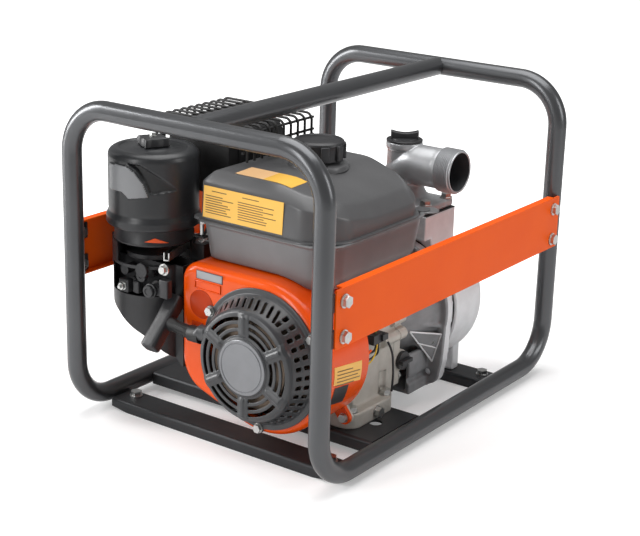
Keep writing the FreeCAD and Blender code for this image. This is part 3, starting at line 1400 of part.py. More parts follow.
def volute():
    y0 = pump_plate_rear + fit_gap
    ring = ring_y(volute_radius, impeller_radius + 3.5, crank_x, crank_z, y0, impeller_rear + 2)
    ring = ring.cut(box(crank_x - 10, crank_x + 90, y0 + 14, 200, crank_z + 44, crank_z + 90))
    back = ring_y(volute_radius, 24, crank_x, crank_z, impeller_rear + 2, impeller_rear + 5)
    return ring.fuse(back).removeSplitter()


def impeller():
    wheel = rod_y(impeller_radius, crank_x, crank_z, impeller_front, impeller_front + 4)
    wheel = wheel.fuse(rod_y(15, crank_x, crank_z, impeller_front - 4, impeller_rear - 2))
    limit = rod_y(impeller_radius, crank_x, crank_z, impeller_front, impeller_rear)
    for i in range(6):
        vane = ring_y(40, 36.5, crank_x + 30, crank_z - 26, impeller_front + 3, impeller_rear)
        vane = vane.common(box(crank_x, crank_x + 70, 0, 200, crank_z - 10, crank_z + 20))
        wheel = wheel.fuse(turned(vane.common(limit), i * 60))
    wheel = wheel.removeSplitter()
    return wheel.cut(rod_y(shaft_radius, crank_x, crank_z, 0, impeller_rear - 6))


def shaft_seals():
    """The two oil seals of the engine and the water seal of the pump."""
    seals = [ring_y(seal_radius, journal_radius + running_gap, crank_x, crank_z, y, y + seal_width)
             for y in (shroud_plate_front, cover_rear + 8 - seal_width)]
    seals.append(ring_y(seal_seat_radius, shaft_radius + running_gap, crank_x, crank_z,
                        pump_plate_rear - 8, pump_plate_rear + 8))
    return group(seals)


def discharge_elbow():
    """Elbow with the priming neck above and the threaded outlet to the right."""
    base = neck_top_z + gasket_thickness
    elbow = box(neck_left - 2, neck_right + 2, neck_front, neck_rear, base, base + elbow_flange)
    elbow = rounded(elbow, 10.0, V(0, 0, 1))
    elbow = elbow.fuse(rod_z(pipe_radius + 2.5, elbow_x, elbow_y, base + 2, elbow_z))
    elbow = elbow.fuse(Part.makeSphere(pipe_radius + 4, V(elbow_x, elbow_y, elbow_z)))
    elbow = elbow.fuse(rod_z(23.5, elbow_x, elbow_y, elbow_z, elbow_top_z - 1))
    elbow = elbow.fuse(rod_z(priming_radius + 5, elbow_x, elbow_y, elbow_top_z - 9, elbow_top_z))
    elbow = elbow.fuse(rod_x(pipe_radius, elbow_y, elbow_z, elbow_x, outlet_x - 2))
    thread = rod_x(thread_radius, elbow_y, elbow_z, outlet_x - thread_length - 2, outlet_x)
    elbow = elbow.fuse(thread).removeSplitter()
    elbow = elbow.cut(rod_z(port_bore, elbow_x, elbow_y, base - 1, elbow_z))
    elbow = elbow.cut(Part.makeSphere(port_bore + 1, V(elbow_x, elbow_y, elbow_z)))
    elbow = elbow.cut(rod_x(port_bore + 0.5, elbow_y, elbow_z, elbow_x, outlet_x + 1))
    elbow = elbow.cut(rod_z(priming_bore, elbow_x, elbow_y, elbow_z, elbow_top_z + 1))
    for x, y in elbow_bolt_places():
        elbow = elbow.cut(rod_z(m8_hole, x, y, base - 1, base + elbow_flange + 1))
        elbow = elbow.cut(rod_z(m8_flange + 1, x, y, base + elbow_flange, base + elbow_flange + 14))
    return elbow


def priming_cap():
    seat = elbow_top_z + fit_gap
    cap = rod_z(priming_radius + 4, elbow_x, elbow_y, seat, seat + 3.5)
    cap = cap.fuse(rod_z(priming_radius, elbow_x, elbow_y, seat + 3, seat + 7))
    wing = box(elbow_x - priming_radius, elbow_x + priming_radius, elbow_y - 8, elbow_y + 8,
               seat + 3, seat + 17)
    scoop = rod_y(34, elbow_x, seat + 46, elbow_y - 20, elbow_y + 20)
    cap = cap.fuse(wing.cut(scoop))
    plug = rod_z(priming_bore - running_gap, elbow_x, elbow_y, elbow_top_z - 12, seat + 1)
    return cap.fuse(plug).removeSplitter()


def suction_flange():
    y = casing_rear
    flange = rod_y(suction_pad, crank_x, suction_z, y, y + 9)
    flange = flange.fuse(rod_y(pipe_radius, crank_x, suction_z, y, suction_end))
    thread = rod_y(thread_radius, crank_x, suction_z, suction_end - thread_length, suction_end)
    flange = flange.fuse(thread).removeSplitter()
    flange = flange.cut(rod_y(port_bore, crank_x, suction_z, y - 1, suction_end + 1))
    for x, z in suction_bolt_places():
        flange = flange.cut(rod_y(m8_hole, x, z, y - 1, y + 10))
    return flange


def check_valve_flap():
    """Flap that hangs on a pin over the inner end of the suction port."""
    seat = casing_rear - 18
    flap = rod_y(port_bore + 4, crank_x, suction_z, seat - 4.3, seat - fit_gap)
    flap = flap.fuse(box(crank_x - 9, crank_x + 9, seat - 4.3, seat - fit_gap, suction_z, flap_z))
    flap = flap.fuse(rod_x(5, flap_y, flap_z, crank_x - 13, crank_x + 13))
    flap = flap.fuse(rod_x(3, flap_y, flap_z, crank_x - 18, crank_x + 18))
    return flap.removeSplitter()


def drain_plug():
    y = pump_plate_rear + gasket_thickness + 26
    plug = rod_z(8 - running_gap, crank_x, y, drain_plug_z, drain_plug_z + 12)
    plug = plug.fuse(rod_z(11, crank_x, y, drain_plug_z - 2, drain_plug_z))
    return plug.fuse(placed(hexagon(16, 6), V(crank_x, y, drain_plug_z - 2), V(0, 0, -1))).removeSplitter()


def pump_bolts():
    bolt = flange_bolt(m8_shank, pump_plate_rear - pump_plate_front + 20)
    bolts = [placed(bolt, V(x, pump_plate_front, z), V(0, -1, 0)) for x, z in pump_bolt_places()]
    top = neck_top_z + gasket_thickness + elbow_flange
    short = flange_bolt(m8_shank, elbow_flange + 15)
    bolts += [placed(short, V(x, y, top)) for x, y in elbow_bolt_places()]
    rear = flange_bolt(m8_shank, 22)
    bolts += [placed(rear, V(x, casing_rear + 9, z), V(0, 1, 0)) for x, z in suction_bolt_places()]
    foot = flange_bolt(m8_shank, 19)
    under = rail_top_z - rail_sheet
    bolts += [placed(foot, V(crank_x + side * pump_foot_x, rail_middle_rear - 3, under), V(0, 0, -1))
              for side in (-1, 1)]
    return group(bolts)


def gaskets():
    """Gaskets of the cylinder head, the pump plate and the elbow."""
    head = on_bore(46, deck, deck + 1).cut(on_bore(bore_radius, deck - 1, deck + 2))
    plate = ring_y(pump_plate_radius, volute_radius + 3, crank_x, crank_z, pump_plate_rear,
                   pump_plate_rear + gasket_thickness)
    for x, z in pump_bolt_places():
        plate = plate.cut(rod_y(m8_hole, x, z, 0, 100))
    neck = box(neck_left, neck_right, neck_front + 1, neck_rear - 1, neck_top_z, neck_top_z + gasket_thickness)
    neck = neck.cut(box(neck_left + 17, neck_right - 17, pump_plate_rear + 9, neck_rear - 9, 0, 300))
    for x, y in elbow_bolt_places():
        neck = neck.cut(rod_z(m8_hole, x, y, 0, 300))
    return group([head, plate, neck])


def m6_screws():
    """Small flange screws of the crankcase cover, the starter and the fan housing."""
    bolt = flange_bolt(m6_shank, 9)
    screws = cover_bolts() + starter_screws()
    for angle in shroud_ear_angles:
        x, z = at_angle(shroud_radius + 11, angle)
        screws.append(placed(bolt, V(x, shroud_rear - 5, z), V(0, -1, 0)))
    return group(screws)


def write_parts():
    os.makedirs("parts", exist_ok=True)
    save("front_hoop", hoop(-1))
    save("rear_hoop", hoop(1))
    save("carry_bar", carry_bar())
    save("front_rail", rail(rail_middle_front, rail_bolt_front))
    save("rear_rail", rear_rail())
    save("engine_plate", engine_plate())
    save("side_panel_left", side_panel(-1))
    save("side_panel_right", side_panel(1))
    save("frame_bolts", group(rail_bolts() + panel_bolts() + foot_bolts()))
    for maker in (crankcase, crankcase_cover, m6_screws, oil_drain_bolt, oil_dipstick,
                  cylinder_head, rocker_cover, spark_plug, piston, crankshaft, camshaft,
                  main_bearings, shaft_seals, flywheel, cooling_fan, starter_cup,
                  ignition_coil, fan_shroud, recoil_cover, recoil_reel, recoil_spring,
                  starter_rope, starter_grip, fuel_tank_lower, fuel_tank_upper, fuel_cap,
                  carburettor, control_housing, choke_lever, fuel_cock_lever,
                  control_bracket, throttle_lever, governor_arm, air_cleaner_base,
                  air_cleaner_cover, air_filter_element, air_cleaner_knob, muffler,
                  muffler_guard, engine_wires, pump_bracket, pump_casing, impeller, volute,
                  discharge_elbow, priming_cap, suction_flange, check_valve_flap,
                  drain_plug, pump_bolts, gaskets):
        save(maker.__name__, maker())


write_parts()
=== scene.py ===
"""Looks of an engine-driven trash pump in a tubular roll frame."""

import json
import logging
import math
from dataclasses import dataclass
from enum import Enum
from functools import cache
from typing import Callable, Sequence

import bmesh
import bpy
from mathutils import Matrix, Vector

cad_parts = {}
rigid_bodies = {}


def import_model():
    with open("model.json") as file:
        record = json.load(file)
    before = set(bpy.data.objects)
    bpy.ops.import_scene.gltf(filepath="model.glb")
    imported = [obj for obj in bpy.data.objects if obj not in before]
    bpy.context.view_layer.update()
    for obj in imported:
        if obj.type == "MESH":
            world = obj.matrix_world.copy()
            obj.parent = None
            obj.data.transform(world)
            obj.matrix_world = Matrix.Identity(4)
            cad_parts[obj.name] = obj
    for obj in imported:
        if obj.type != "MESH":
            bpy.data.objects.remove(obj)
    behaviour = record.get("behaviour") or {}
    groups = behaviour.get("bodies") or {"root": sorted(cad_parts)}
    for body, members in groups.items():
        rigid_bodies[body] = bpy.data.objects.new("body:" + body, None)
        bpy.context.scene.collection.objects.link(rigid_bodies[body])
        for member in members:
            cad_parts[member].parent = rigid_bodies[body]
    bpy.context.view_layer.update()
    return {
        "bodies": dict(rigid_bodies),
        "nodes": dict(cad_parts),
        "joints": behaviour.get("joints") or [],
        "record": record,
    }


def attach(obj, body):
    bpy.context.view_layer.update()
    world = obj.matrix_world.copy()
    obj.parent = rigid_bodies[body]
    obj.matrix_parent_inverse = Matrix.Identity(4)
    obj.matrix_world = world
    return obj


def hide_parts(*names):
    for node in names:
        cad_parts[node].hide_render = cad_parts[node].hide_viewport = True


logging.basicConfig(level=logging.INFO, format="%(message)s")
LOG = logging.getLogger("trash_pump")

Point = tuple[float, float, float]
Flat = tuple[float, float]
Colour = tuple[int, int, int]
Input = bpy.types.NodeSocket | float | tuple
UP, DOWN, FRONT, REAR, RIGHT = (0, 0, 1), (0, 0, -1), (0, -1, 0), (0, 1, 0), (1, 0, 0)
MM = 0.001
MERGE_GAP = 1e-6    # metres; points closer than this are one
FULL_TURN = 2 * math.pi
AXIS_GAP = 1e-4     # least radius of a turned profile, so that its ends stay rings
CAST_EDGE = 80      # degrees; castings shade smooth over anything blunter


def linear(colour: Colour) -> tuple[float, ...]:
    """Turn a display colour of 0 to 255 into the linear colour that shaders take."""
    shares = [channel / 255 for channel in colour]
    return (*(v / 12.92 if v <= 0.04045 else ((v + 0.055) / 1.055) ** 2.4 for v in shares), 1.0)


def plug(tree: bpy.types.NodeTree, node: bpy.types.Node, **inputs: Input) -> bpy.types.Node:
    """Set or link a node's inputs by name.

    Args:
        tree: the tree that the node is in.
        node: the node.
        inputs: values or sockets; underscores stand for spaces.

    Returns:
        The same node.
    """
    for name, value in inputs.items():
        socket = node.inputs[name.replace("_", " ")]
        if isinstance(value, bpy.types.NodeSocket):
            tree.links.new(value, socket)
        else:
            socket.default_value = value
    return node


def combined(tree: bpy.types.NodeTree, operation: str,
             *sockets: bpy.types.NodeSocket) -> bpy.types.NodeSocket:
    """The result of a shader maths node.

    Args:
        tree: the tree that the node joins.
        operation: the node's operation.
        sockets: what it works on.

    Returns:
        The socket with the result.
    """
    node = tree.nodes.new("ShaderNodeMath")
    node.operation = operation
    for socket, taken in zip(sockets, node.inputs):
        tree.links.new(socket, taken)
    return node.outputs[0]


class Body(Enum):
    """The bodies that pieces ride on."""

    MACHINE = "machine"
    CHOKE = "choke"
    FUEL_COCK = "fuel_cock"
    GRIP = "pull_grip"
    TANK_CAP = "tank_cap"
    PRIMER_CAP = "primer_cap"
    CLEANER_KNOB = "cleaner_knob"


# ---------------------------------------------------------------- finishes
@dataclass(frozen=True)
class Finish:
    """A surface with mottled colour, uneven gloss and a fine grain.

    Colours are display values of 0 to 255; mottle, grain and depth are in millimetres.
    """

    name: str
    colour: Colour
    second: Colour
    roughness: float = 0.5
    spread: float = 0.04
    metallic: float = 0.0
    mottle: float = 30.0
    grain: float = 0.5
    depth: float = 0.01
    coat: float = 0.0
    coat_rough: float = 0.1
    specular: float = 0.5
    sheen: float = 0.0

    def material(self) -> bpy.types.Material:
        """Build the material once, and return it afterwards.

        Returns:
            The Blender material.
        """
        known = bpy.data.materials.get(self.name)
        if known:
            return known
        made = bpy.data.materials.new(self.name)
        made.use_nodes = True
        tree = made.node_tree
        where = tree.nodes.new("ShaderNodeTexCoord").outputs["Object"]
        ramp = plug(tree, tree.nodes.new("ShaderNodeValToRGB"),
                    Fac=self._noise(tree, where, self.mottle, 4.0))
        ends = ((0.32, self.colour), (0.72, self.second))
        for stop, (position, colour) in zip(ramp.color_ramp.elements, ends):
            stop.position = position
            stop.color = linear(colour)
        gloss = plug(tree, tree.nodes.new("ShaderNodeMapRange"),
                     Value=self._noise(tree, where, self.mottle * 0.4, 3.0),
                     To_Min=self.roughness - self.spread, To_Max=self.roughness + self.spread)
        bump = plug(tree, tree.nodes.new("ShaderNodeBump"), Strength=1.0,
                    Distance=self.depth * MM, Height=self._noise(tree, where, self.grain, 2.0))
        plug(tree, tree.nodes["Principled BSDF"], Metallic=self.metallic, Coat_Weight=self.coat,
             Coat_Roughness=self.coat_rough, Specular_IOR_Level=self.specular,
             Sheen_Weight=self.sheen, Base_Color=ramp.outputs["Color"],
             Roughness=gloss.outputs["Result"], Normal=bump.outputs["Normal"])
        return made

    @staticmethod
    def _noise(tree: bpy.types.NodeTree, vector: bpy.types.NodeSocket,
               size: float, detail: float) -> bpy.types.NodeSocket:
        """Noise whose features have that size in millimetres."""
        node = plug(tree, tree.nodes.new("ShaderNodeTexNoise"), Vector=vector, Scale=1.0 / (size * MM),
                    Detail=detail)
        return node.outputs["Fac"]


FRAME_PAINT = Finish("frame_grey_paint", (86, 87, 89), (91, 92, 94), 0.3, 0.012, metallic=0.72, mottle=90,
                     grain=1.6, depth=0.003, coat=0.2)
RAIL_PAINT = Finish("rail_black_paint", (52, 53, 55), (60, 61, 63), 0.42, 0.05, metallic=0.5, mottle=50,
                    grain=1.5, depth=0.012)
ORANGE_PAINT = Finish("orange_enamel", (226, 78, 4), (232, 84, 6), 0.26, 0.03, mottle=70, grain=2.2,
                      coat=0.2, coat_rough=0.12, specular=0.3)
PANEL_PAINT = Finish("orange_panel", (236, 88, 6), (240, 93, 9), 0.42, 0.03, mottle=80, grain=2.2,
                     depth=0.008, coat=0.04, coat_rough=0.2, specular=0.12)
ZINC = Finish("zinc_plate", (190, 191, 190), (208, 208, 205), 0.3, 0.08, metallic=1.0, mottle=6,
              depth=0.006)
ENGINE_CASTING = Finish("engine_cast_alloy", (176, 172, 164), (190, 186, 178), 0.48, 0.07, metallic=0.3,
                        mottle=14, grain=0.9, depth=0.05)
# Light cast alloy of the pump casing; on the bracket's rear flange and its ribs the same colour is painted
# light from the right.
PUMP_ALLOY_AND_PAINTED_LIGHT = Finish("pump_alloy_and_painted_light", (214, 215, 217), (226, 227, 229), 0.44, metallic=0.45, mottle=20,
                      grain=0.8, depth=0.04)
ELBOW_CASTING = Finish("elbow_cast_alloy", (172, 173, 175), (186, 187, 189), 0.36, metallic=0.6, mottle=20,
                       grain=0.8, depth=0.04)
BRACKET_CASTING = Finish("bracket_casting", (126, 127, 129), (142, 143, 145), 0.5, 0.07, metallic=0.3,
                         mottle=16, grain=0.9, depth=0.05)
INNER_STEEL = Finish("machined_steel", (150, 151, 152), (170, 170, 170), 0.28, 0.06, metallic=1.0, mottle=5,
                     grain=0.4, depth=0.005)
INNER_IRON = Finish("machined_iron", (118, 104, 92), (138, 122, 108), 0.45, 0.1, metallic=0.8, mottle=9,
                    grain=0.7, depth=0.03)
BLACK_PLASTIC = Finish("black_moulding", (34, 34, 36), (42, 42, 44), 0.42, 0.06, mottle=22, grain=0.45,
                       depth=0.012)
CLEANER_PLASTIC = Finish("cleaner_moulding", (35, 36, 38), (41, 42, 44), 0.34, mottle=45, depth=0.006)
COVER_PLASTIC = Finish("recoil_moulding", (56, 57, 59), (64, 65, 67), 0.33)
TANK_UPPER = Finish("tank_upper_moulding", (80, 80, 81), (88, 88, 89), 0.32, mottle=55, grain=0.6,
                    depth=0.006)
TANK_LOWER = Finish("tank_lower_moulding", (104, 104, 105), (114, 114, 115), 0.34, mottle=55, grain=0.6,
                    depth=0.008)
BLACK_STEEL = Finish("heat_black", (36, 36, 37), (46, 45, 45), 0.5, 0.08, metallic=0.3, mottle=16,
                     grain=0.8, depth=0.02)
RUBBER = Finish("black_rubber", (20, 20, 21), (26, 26, 26), 0.5, 0.06, mottle=10, depth=0.02)
ROPE = Finish("braided_rope", (26, 26, 28), (60, 60, 62), 0.8, 0.05, mottle=1.2, grain=0.8, depth=0.15,
              sheen=0.3)
LABEL_AMBER = Finish("amber_label", (240, 184, 70), (244, 190, 78), 0.38, mottle=60, grain=1.5, depth=0.003,
                     coat=0.4)
LABEL_PEACH = Finish("peach_label", (246, 196, 140), (248, 202, 148), 0.38, mottle=60, grain=1.5,
                     depth=0.003, coat=0.4)
BADGE_GREY = Finish("badge_grey", (122, 123, 126), (130, 131, 134), 0.34, 0.03, metallic=0.3, depth=0.004)
ORANGE_DEEP = Finish("orange_recess", (178, 52, 2), (188, 58, 4), 0.4, mottle=40, grain=2.0, coat=0.05,
                     specular=0.2)
LABEL_INK = Finish("label_ink", (112, 82, 34), (122, 90, 40), 0.45, mottle=20, grain=1.0, depth=0.002)
LABEL_WHITE = Finish("pale_label", (150, 151, 154), (164, 165, 168), 0.3, metallic=0.3, grain=1.2,
                     depth=0.003)
CLEANER_FIN = Finish("cleaner_fin", (124, 125, 127), (134, 135, 137), 0.3, 0.03, mottle=45, depth=0.004)
# Near-black painted shade for the sunk wedge beside the fin on the air cleaner lid.
CLEANER_WEDGE_SHADE = Finish("cleaner_wedge_painted_shade", (22, 22, 23), (27, 27, 28), 0.5, depth=0.006)
# Dark grey painted shade for the inside of the bored elbow and its thread sleeve.
BORE_SHADE = Finish("bore_painted_shade", (52, 53, 55), (64, 65, 67), 0.6, 0.06, mottle=14, grain=0.9, depth=0.05)
DARK_HOLLOW = Finish("dark_hollow", (12, 12, 13), (18, 18, 18), 0.8, 0.05, mottle=10, grain=1.0, depth=0.02)
WIRE_YELLOW = Finish("yellow_wire", (220, 180, 40), (228, 190, 52), 0.45, 0.05, mottle=8, grain=0.6)
WIRE_GREEN = Finish("green_wire", (70, 140, 60), (80, 150, 70), 0.45, 0.05, mottle=8, grain=0.6)

CAD_FINISHES: dict[Finish, tuple[str, ...]] = {
    FRAME_PAINT: ("front_hoop", "rear_hoop", "carry_bar"),
    RAIL_PAINT: ("front_rail", "rear_rail", "engine_plate"),
    PANEL_PAINT: ("side_panel_left", "side_panel_right"),
    ORANGE_PAINT: ("fan_shroud",),
    ZINC: ("frame_bolts", "m6_screws", "pump_bolts", "oil_drain_bolt", "drain_plug",
           "control_bracket", "throttle_lever", "governor_arm"),
    ENGINE_CASTING: ("crankcase", "crankcase_cover", "cylinder_head", "carburettor"),
    PUMP_ALLOY_AND_PAINTED_LIGHT: ("pump_casing", "discharge_elbow", "suction_flange"),
    BRACKET_CASTING: ("pump_bracket",),
    INNER_STEEL: ("crankshaft", "camshaft", "main_bearings", "starter_cup", "recoil_spring"),
    INNER_IRON: ("piston", "flywheel", "impeller", "volute", "recoil_reel", "cooling_fan"),
    BLACK_PLASTIC: ("control_housing", "choke_lever", "fuel_cock_lever", "starter_grip", "fuel_cap",
                    "priming_cap", "oil_dipstick", "air_cleaner_knob", "air_cleaner_base",
                    "ignition_coil", "spark_plug", "engine_wires"),
    CLEANER_PLASTIC: ("air_cleaner_cover",),
    COVER_PLASTIC: ("recoil_cover",),
    TANK_UPPER: ("fuel_tank_upper",),
    TANK_LOWER: ("fuel_tank_lower",),
    BLACK_STEEL: ("muffler", "muffler_guard", "rocker_cover"),
    RUBBER: ("shaft_seals", "check_valve_flap", "gaskets"),
    ROPE: ("starter_rope",),
}


def dress_cad_nodes(nodes: dict[str, bpy.types.Object]) -> None:
    """Give the CAD nodes their finishes; the filter element keeps its own.

    Args:
        nodes: the CAD nodes by name.
    """
    for finish, names in CAD_FINISHES.items():
        for name in names:
            slots = nodes[name].data.materials
            slots.clear()
            slots.append(finish.material())


# ---------------------------------------------------------------- mesh tools
def new_object(name: str, mesh: bpy.types.Mesh) -> bpy.types.Object:
    """Link a mesh into the scene under that name."""
    made = bpy.data.objects.new(name, mesh)
    bpy.context.scene.collection.objects.link(made)
    return made


def soften(mesh: bpy.types.Mesh, angle: float) -> None:
    """Shade smooth, with edges sharper than the angle in degrees kept."""
    mesh.shade_smooth()
    mesh.set_sharp_from_angle(angle=math.radians(angle))


def axes_about(axis: Point) -> tuple[Vector, Vector, Vector]:
    """The direction of an axis and two directions across it.

    Args:
        axis: the axis.

    Returns:
        Unit vectors along it, across it and across both.
    """
    along = Vector(axis).normalized()
    side = along.orthogonal().normalized()
    return along, side, along.cross(side)


def around(steps: int, place: Callable[[float], Sequence[float]]) -> list[Point]:
    """The points that a function gives at equal steps of angle round a turn."""
    return [tuple(place(FULL_TURN * i / steps)) for i in range(steps)]


def polar(x: float, y: float, reach: float, turn: float) -> Flat:
    """The place that far from a centre at an angle."""
    return x + reach * math.cos(turn), y + reach * math.sin(turn)


def mesh_piece(name: str, points: Sequence[Point], faces: Sequence[Sequence[int]], finish: Finish,
               sharp: float = 35.0) -> bpy.types.Object:
    """Make an object from points in millimetres.

    Args:
        name: the object's name.
        points: corners in millimetres, in the frame's coordinates.
        faces: corner numbers of each face.
        finish: its surface.
        sharp: edges bent by more than this many degrees stay crisp.

    Returns:
        The new object, with doubles merged and normals outwards.
    """
    mesh = bpy.data.meshes.new(name)
    mesh.from_pydata([Vector(p) * MM for p in points], [], faces)
    work = bmesh.new()
    work.from_mesh(mesh)
    bmesh.ops.remove_doubles(work, verts=work.verts, dist=MERGE_GAP)
    bmesh.ops.recalc_face_normals(work, faces=work.faces)
    work.to_mesh(mesh)
    work.free()
    mesh.materials.append(finish.material())
    soften(mesh, sharp)
    return new_object(name, mesh)


def evaluated(piece: bpy.types.Object) -> bpy.types.Mesh:
    """A piece's mesh with its modifiers run.

    Args:
        piece: the object with live modifiers.

    Returns:
        The mesh that they give.
    """
    graph = bpy.context.evaluated_depsgraph_get()
    graph.update()
    return bpy.data.meshes.new_from_object(piece.evaluated_get(graph))


def modified(piece: bpy.types.Object, kind: str, sharp: float, **settings: object) -> bpy.types.Object:
    """Run one modifier on a piece and keep its result.

    Args:
        piece: the piece.
        kind: the modifier's type.
        sharp: edges bent by more than this many degrees stay crisp.
        settings: the modifier's settings by name.

    Returns:
        The same piece, as a plain mesh.
    """
    step = piece.modifiers.new(kind.lower(), kind)
    for key, value in settings.items():
        setattr(step, key, value)
    piece.data = evaluated(piece)
    piece.modifiers.clear()
    soften(piece.data, sharp)
    return piece


def bevelled(piece: bpy.types.Object, width: float) -> bpy.types.Object:
    """Round every crisp edge by a width in millimetres."""
    return modified(piece, "BEVEL", 35, width=width * MM, segments=3, limit_method="ANGLE",
                    angle_limit=math.radians(30))


def joined(name: str, pieces: Sequence[bpy.types.Object]) -> bpy.types.Object:
    """Join pieces into the first one and rename it.

    Args:
        name: the new name.
        pieces: what to join.

    Returns:
        The joined piece.
    """
    target = pieces[0]
    with bpy.context.temp_override(active_object=target, object=target,
                                   selected_editable_objects=list(pieces),
                                   selected_objects=list(pieces)):
        bpy.ops.object.join()
    target.name = name
    return target


def skinned(name: str, rings: Sequence[Sequence[Point]], finish: Finish, sharp: float = 35.0,
            looped: bool = False) -> bpy.types.Object:
    """Skin closed rings of equal count.

    Args:
        name: the object's name.
        rings: the rings in order, in millimetres.
        finish: its surface.
        sharp: edges bent by more than this many degrees stay crisp.
        looped: the last ring joins the first; otherwise both ends are closed.

    Returns:
        The closed solid.
    """
    count = len(rings[0])
    total = len(rings) * count
    faces = []
    for low in range(0, total if looped else total - count, count):
        high = (low + count) % total
        for i in range(count):
            j = (i + 1) % count
            faces.append([low + i, low + j, high + j, high + i])
    if not looped:
        faces += [list(range(count))[::-1], list(range(total - count, total))]
    return mesh_piece(name, [p for ring in rings for p in ring], faces, finish, sharp)


def turned(name: str, profile: Sequence[Flat], base: Point, axis: Point, finish: Finish, steps: int = 64,
           sharp: float = 32.0, hollow: bool = False) -> bpy.types.Object:
    """Turn a profile round an axis.

    Args:
        name: the object's name.
        profile: radius and height pairs.
        base: where height 0 is, in millimetres.
        axis: direction of the axis.
        finish: its surface.
        steps: points round the axis.
        sharp: edges bent by more than this many degrees stay crisp.
        hollow: the profile is a closed outline clear of the axis; otherwise its ends are on it.

    Returns:
        The closed solid.
    """
    along, side, other = axes_about(axis)
    rings = [around(steps, lambda t: Vector(base) + along * height
                    + (side * math.cos(t) + other * math.sin(t)) * max(radius, AXIS_GAP))
             for radius, height in profile]
    return skinned(name, rings, finish, sharp, looped=hollow)


def paint(piece: bpy.types.Object, finish: Finish, chosen: Callable[[Vector], bool]) -> None:
    """Give the faces whose middle passes the test another finish.

    Args:
        piece: the mesh object.
        finish: the finish of those faces.
        chosen: takes a face's middle in millimetres.
    """
    piece.data.materials.append(finish.material())
    index = len(piece.data.materials) - 1
    for face in piece.data.polygons:
        if chosen(face.center / MM):
            face.material_index = index


def block(name: str, low: Point, high: Point, finish: Finish, bevel: float = 1.0) -> bpy.types.Object:
    """A box with rounded edges between two opposite corners.

    Args:
        name: the object's name.
        low, high: the opposite corners, in millimetres.
        finish: its surface.
        bevel: radius of its edges.

    Returns:
        The box.
    """
    points = [(x, y, z) for x in (low[0], high[0]) for y in (low[1], high[1]) for z in (low[2], high[2])]
    faces = [[0, 1, 3, 2], [4, 6, 7, 5], [0, 4, 5, 1], [2, 3, 7, 6], [0, 2, 6, 4], [1, 5, 7, 3]]
    return bevelled(mesh_piece(name, points, faces, finish), bevel)


def hex_head(name: str, base: Point, axis: Point, across: float, height: float,
             finish: Finish, washer: float = 0.0) -> bpy.types.Object:
    """A hexagon head with a chamfered face, on a round flange.

    Args:
        name: the object's name.
        base: middle of its seat, in millimetres.
        axis: direction away from the seat.
        across: width across the flats.
        height: height over the seat.
        finish: its surface.
        washer: radius of the flange, 0 for the usual one.

    Returns:
        The head.
    """
    along, side, other = axes_about(axis)
    flange = washer or across * 0.62
    corner = across / math.sqrt(3)
    flat = corner * math.cos(math.pi / 6)

    def ring(level: float, radius: float, six: bool) -> list[Point]:
        """One ring of 24 points, round or six-sided.

        Args:
            level: height over the seat.
            radius: radius of the ring, or its most if six-sided.
            six: follow the hexagon.

        Returns:
            The ring.
        """
        def place(turn: float) -> Vector:
            """The point at an angle."""
            reach = min(flat / math.cos(turn % (math.pi / 3) - math.pi / 6), radius) if six else radius
            return Vector(base) + along * level + (side * math.cos(turn) + other * math.sin(turn)) * reach

        return around(24, place)

    rings = [ring(0, flange, False), ring(1.2, flange, False), ring(1.4, corner, True),
             ring(height - 0.8, corner, True), ring(height, corner * 0.86, False)]
    return skinned(name, rings, finish, 25)


def tube(name: str, route: Sequence[Point], radius: float, finish: Finish) -> bpy.types.Object:
    """A wire or pipe along a smooth route, as a plain mesh.

    Args:
        name: the object's name.
        route: points that steer the line, in millimetres.
        radius: radius of the tube.
        finish: its surface.

    Returns:
        The closed tube.
    """
    curve = bpy.data.curves.new(name, "CURVE")
    curve.dimensions = "3D"
    curve.bevel_depth = radius * MM
    curve.bevel_resolution = 3
    curve.resolution_u = 8
    curve.use_fill_caps = True
    line = curve.splines.new("NURBS")
    line.points.add(len(route) - 1)
    for knot, p in zip(line.points, route):
        knot.co = (p[0] * MM, p[1] * MM, p[2] * MM, 1)
    line.order_u = 3
    line.use_endpoint_u = True
    carrier = new_object(name + "_line", curve)
    made = evaluated(carrier)
    bpy.data.objects.remove(carrier)
    made.materials.clear()
    made.materials.append(finish.material())
    soften(made, 50)
    return new_object(name, made)


def draped(name: str, corners: Sequence[Flat], lift: Callable[[float, float], Point],
           finish: Finish, thick: Point, steps: tuple[int, int] = (24, 12)) -> bpy.types.Object:
    """A thin label that follows a surface.

    Args:
        name: the object's name.
        corners: its four corners in the surface's two coordinates, in order round it.
        lift: gives the point in space of two surface coordinates.
        finish: its surface.
        thick: the step from its outer face to its inner face.
        steps: divisions along and across.

    Returns:
        The closed thin sheet.
    """
    (a, b, c, d) = [Vector(p) for p in corners]
    across, down = steps
    outer = []
    for j in range(down + 1):
        for i in range(across + 1):
            u, v = i / across, j / down
            flat = a.lerp(b, u).lerp(d.lerp(c, u), v)
            outer.append(lift(flat.x, flat.y))
    inner = [tuple(Vector(p) + Vector(thick)) for p in outer]
    total = len(outer)
    faces = []
    for j in range(down):
        for i in range(across):
            k = j * (across + 1) + i
            quad = [k, k + 1, k + across + 2, k + across + 1]
            faces.append(quad)
            faces.append([q + total for q in quad][::-1])
    rim = ([i for i in range(across)]
           + [j * (across + 1) + across for j in range(down)]
           + [down * (across + 1) + i for i in range(across, 0, -1)]
           + [j * (across + 1) for j in range(down, 0, -1)])
    for i, k in enumerate(rim):
        n = rim[(i + 1) % len(rim)]
        faces.append([k, n, n + total, k + total])
    return mesh_piece(name, outer + inner, faces, finish, 60)


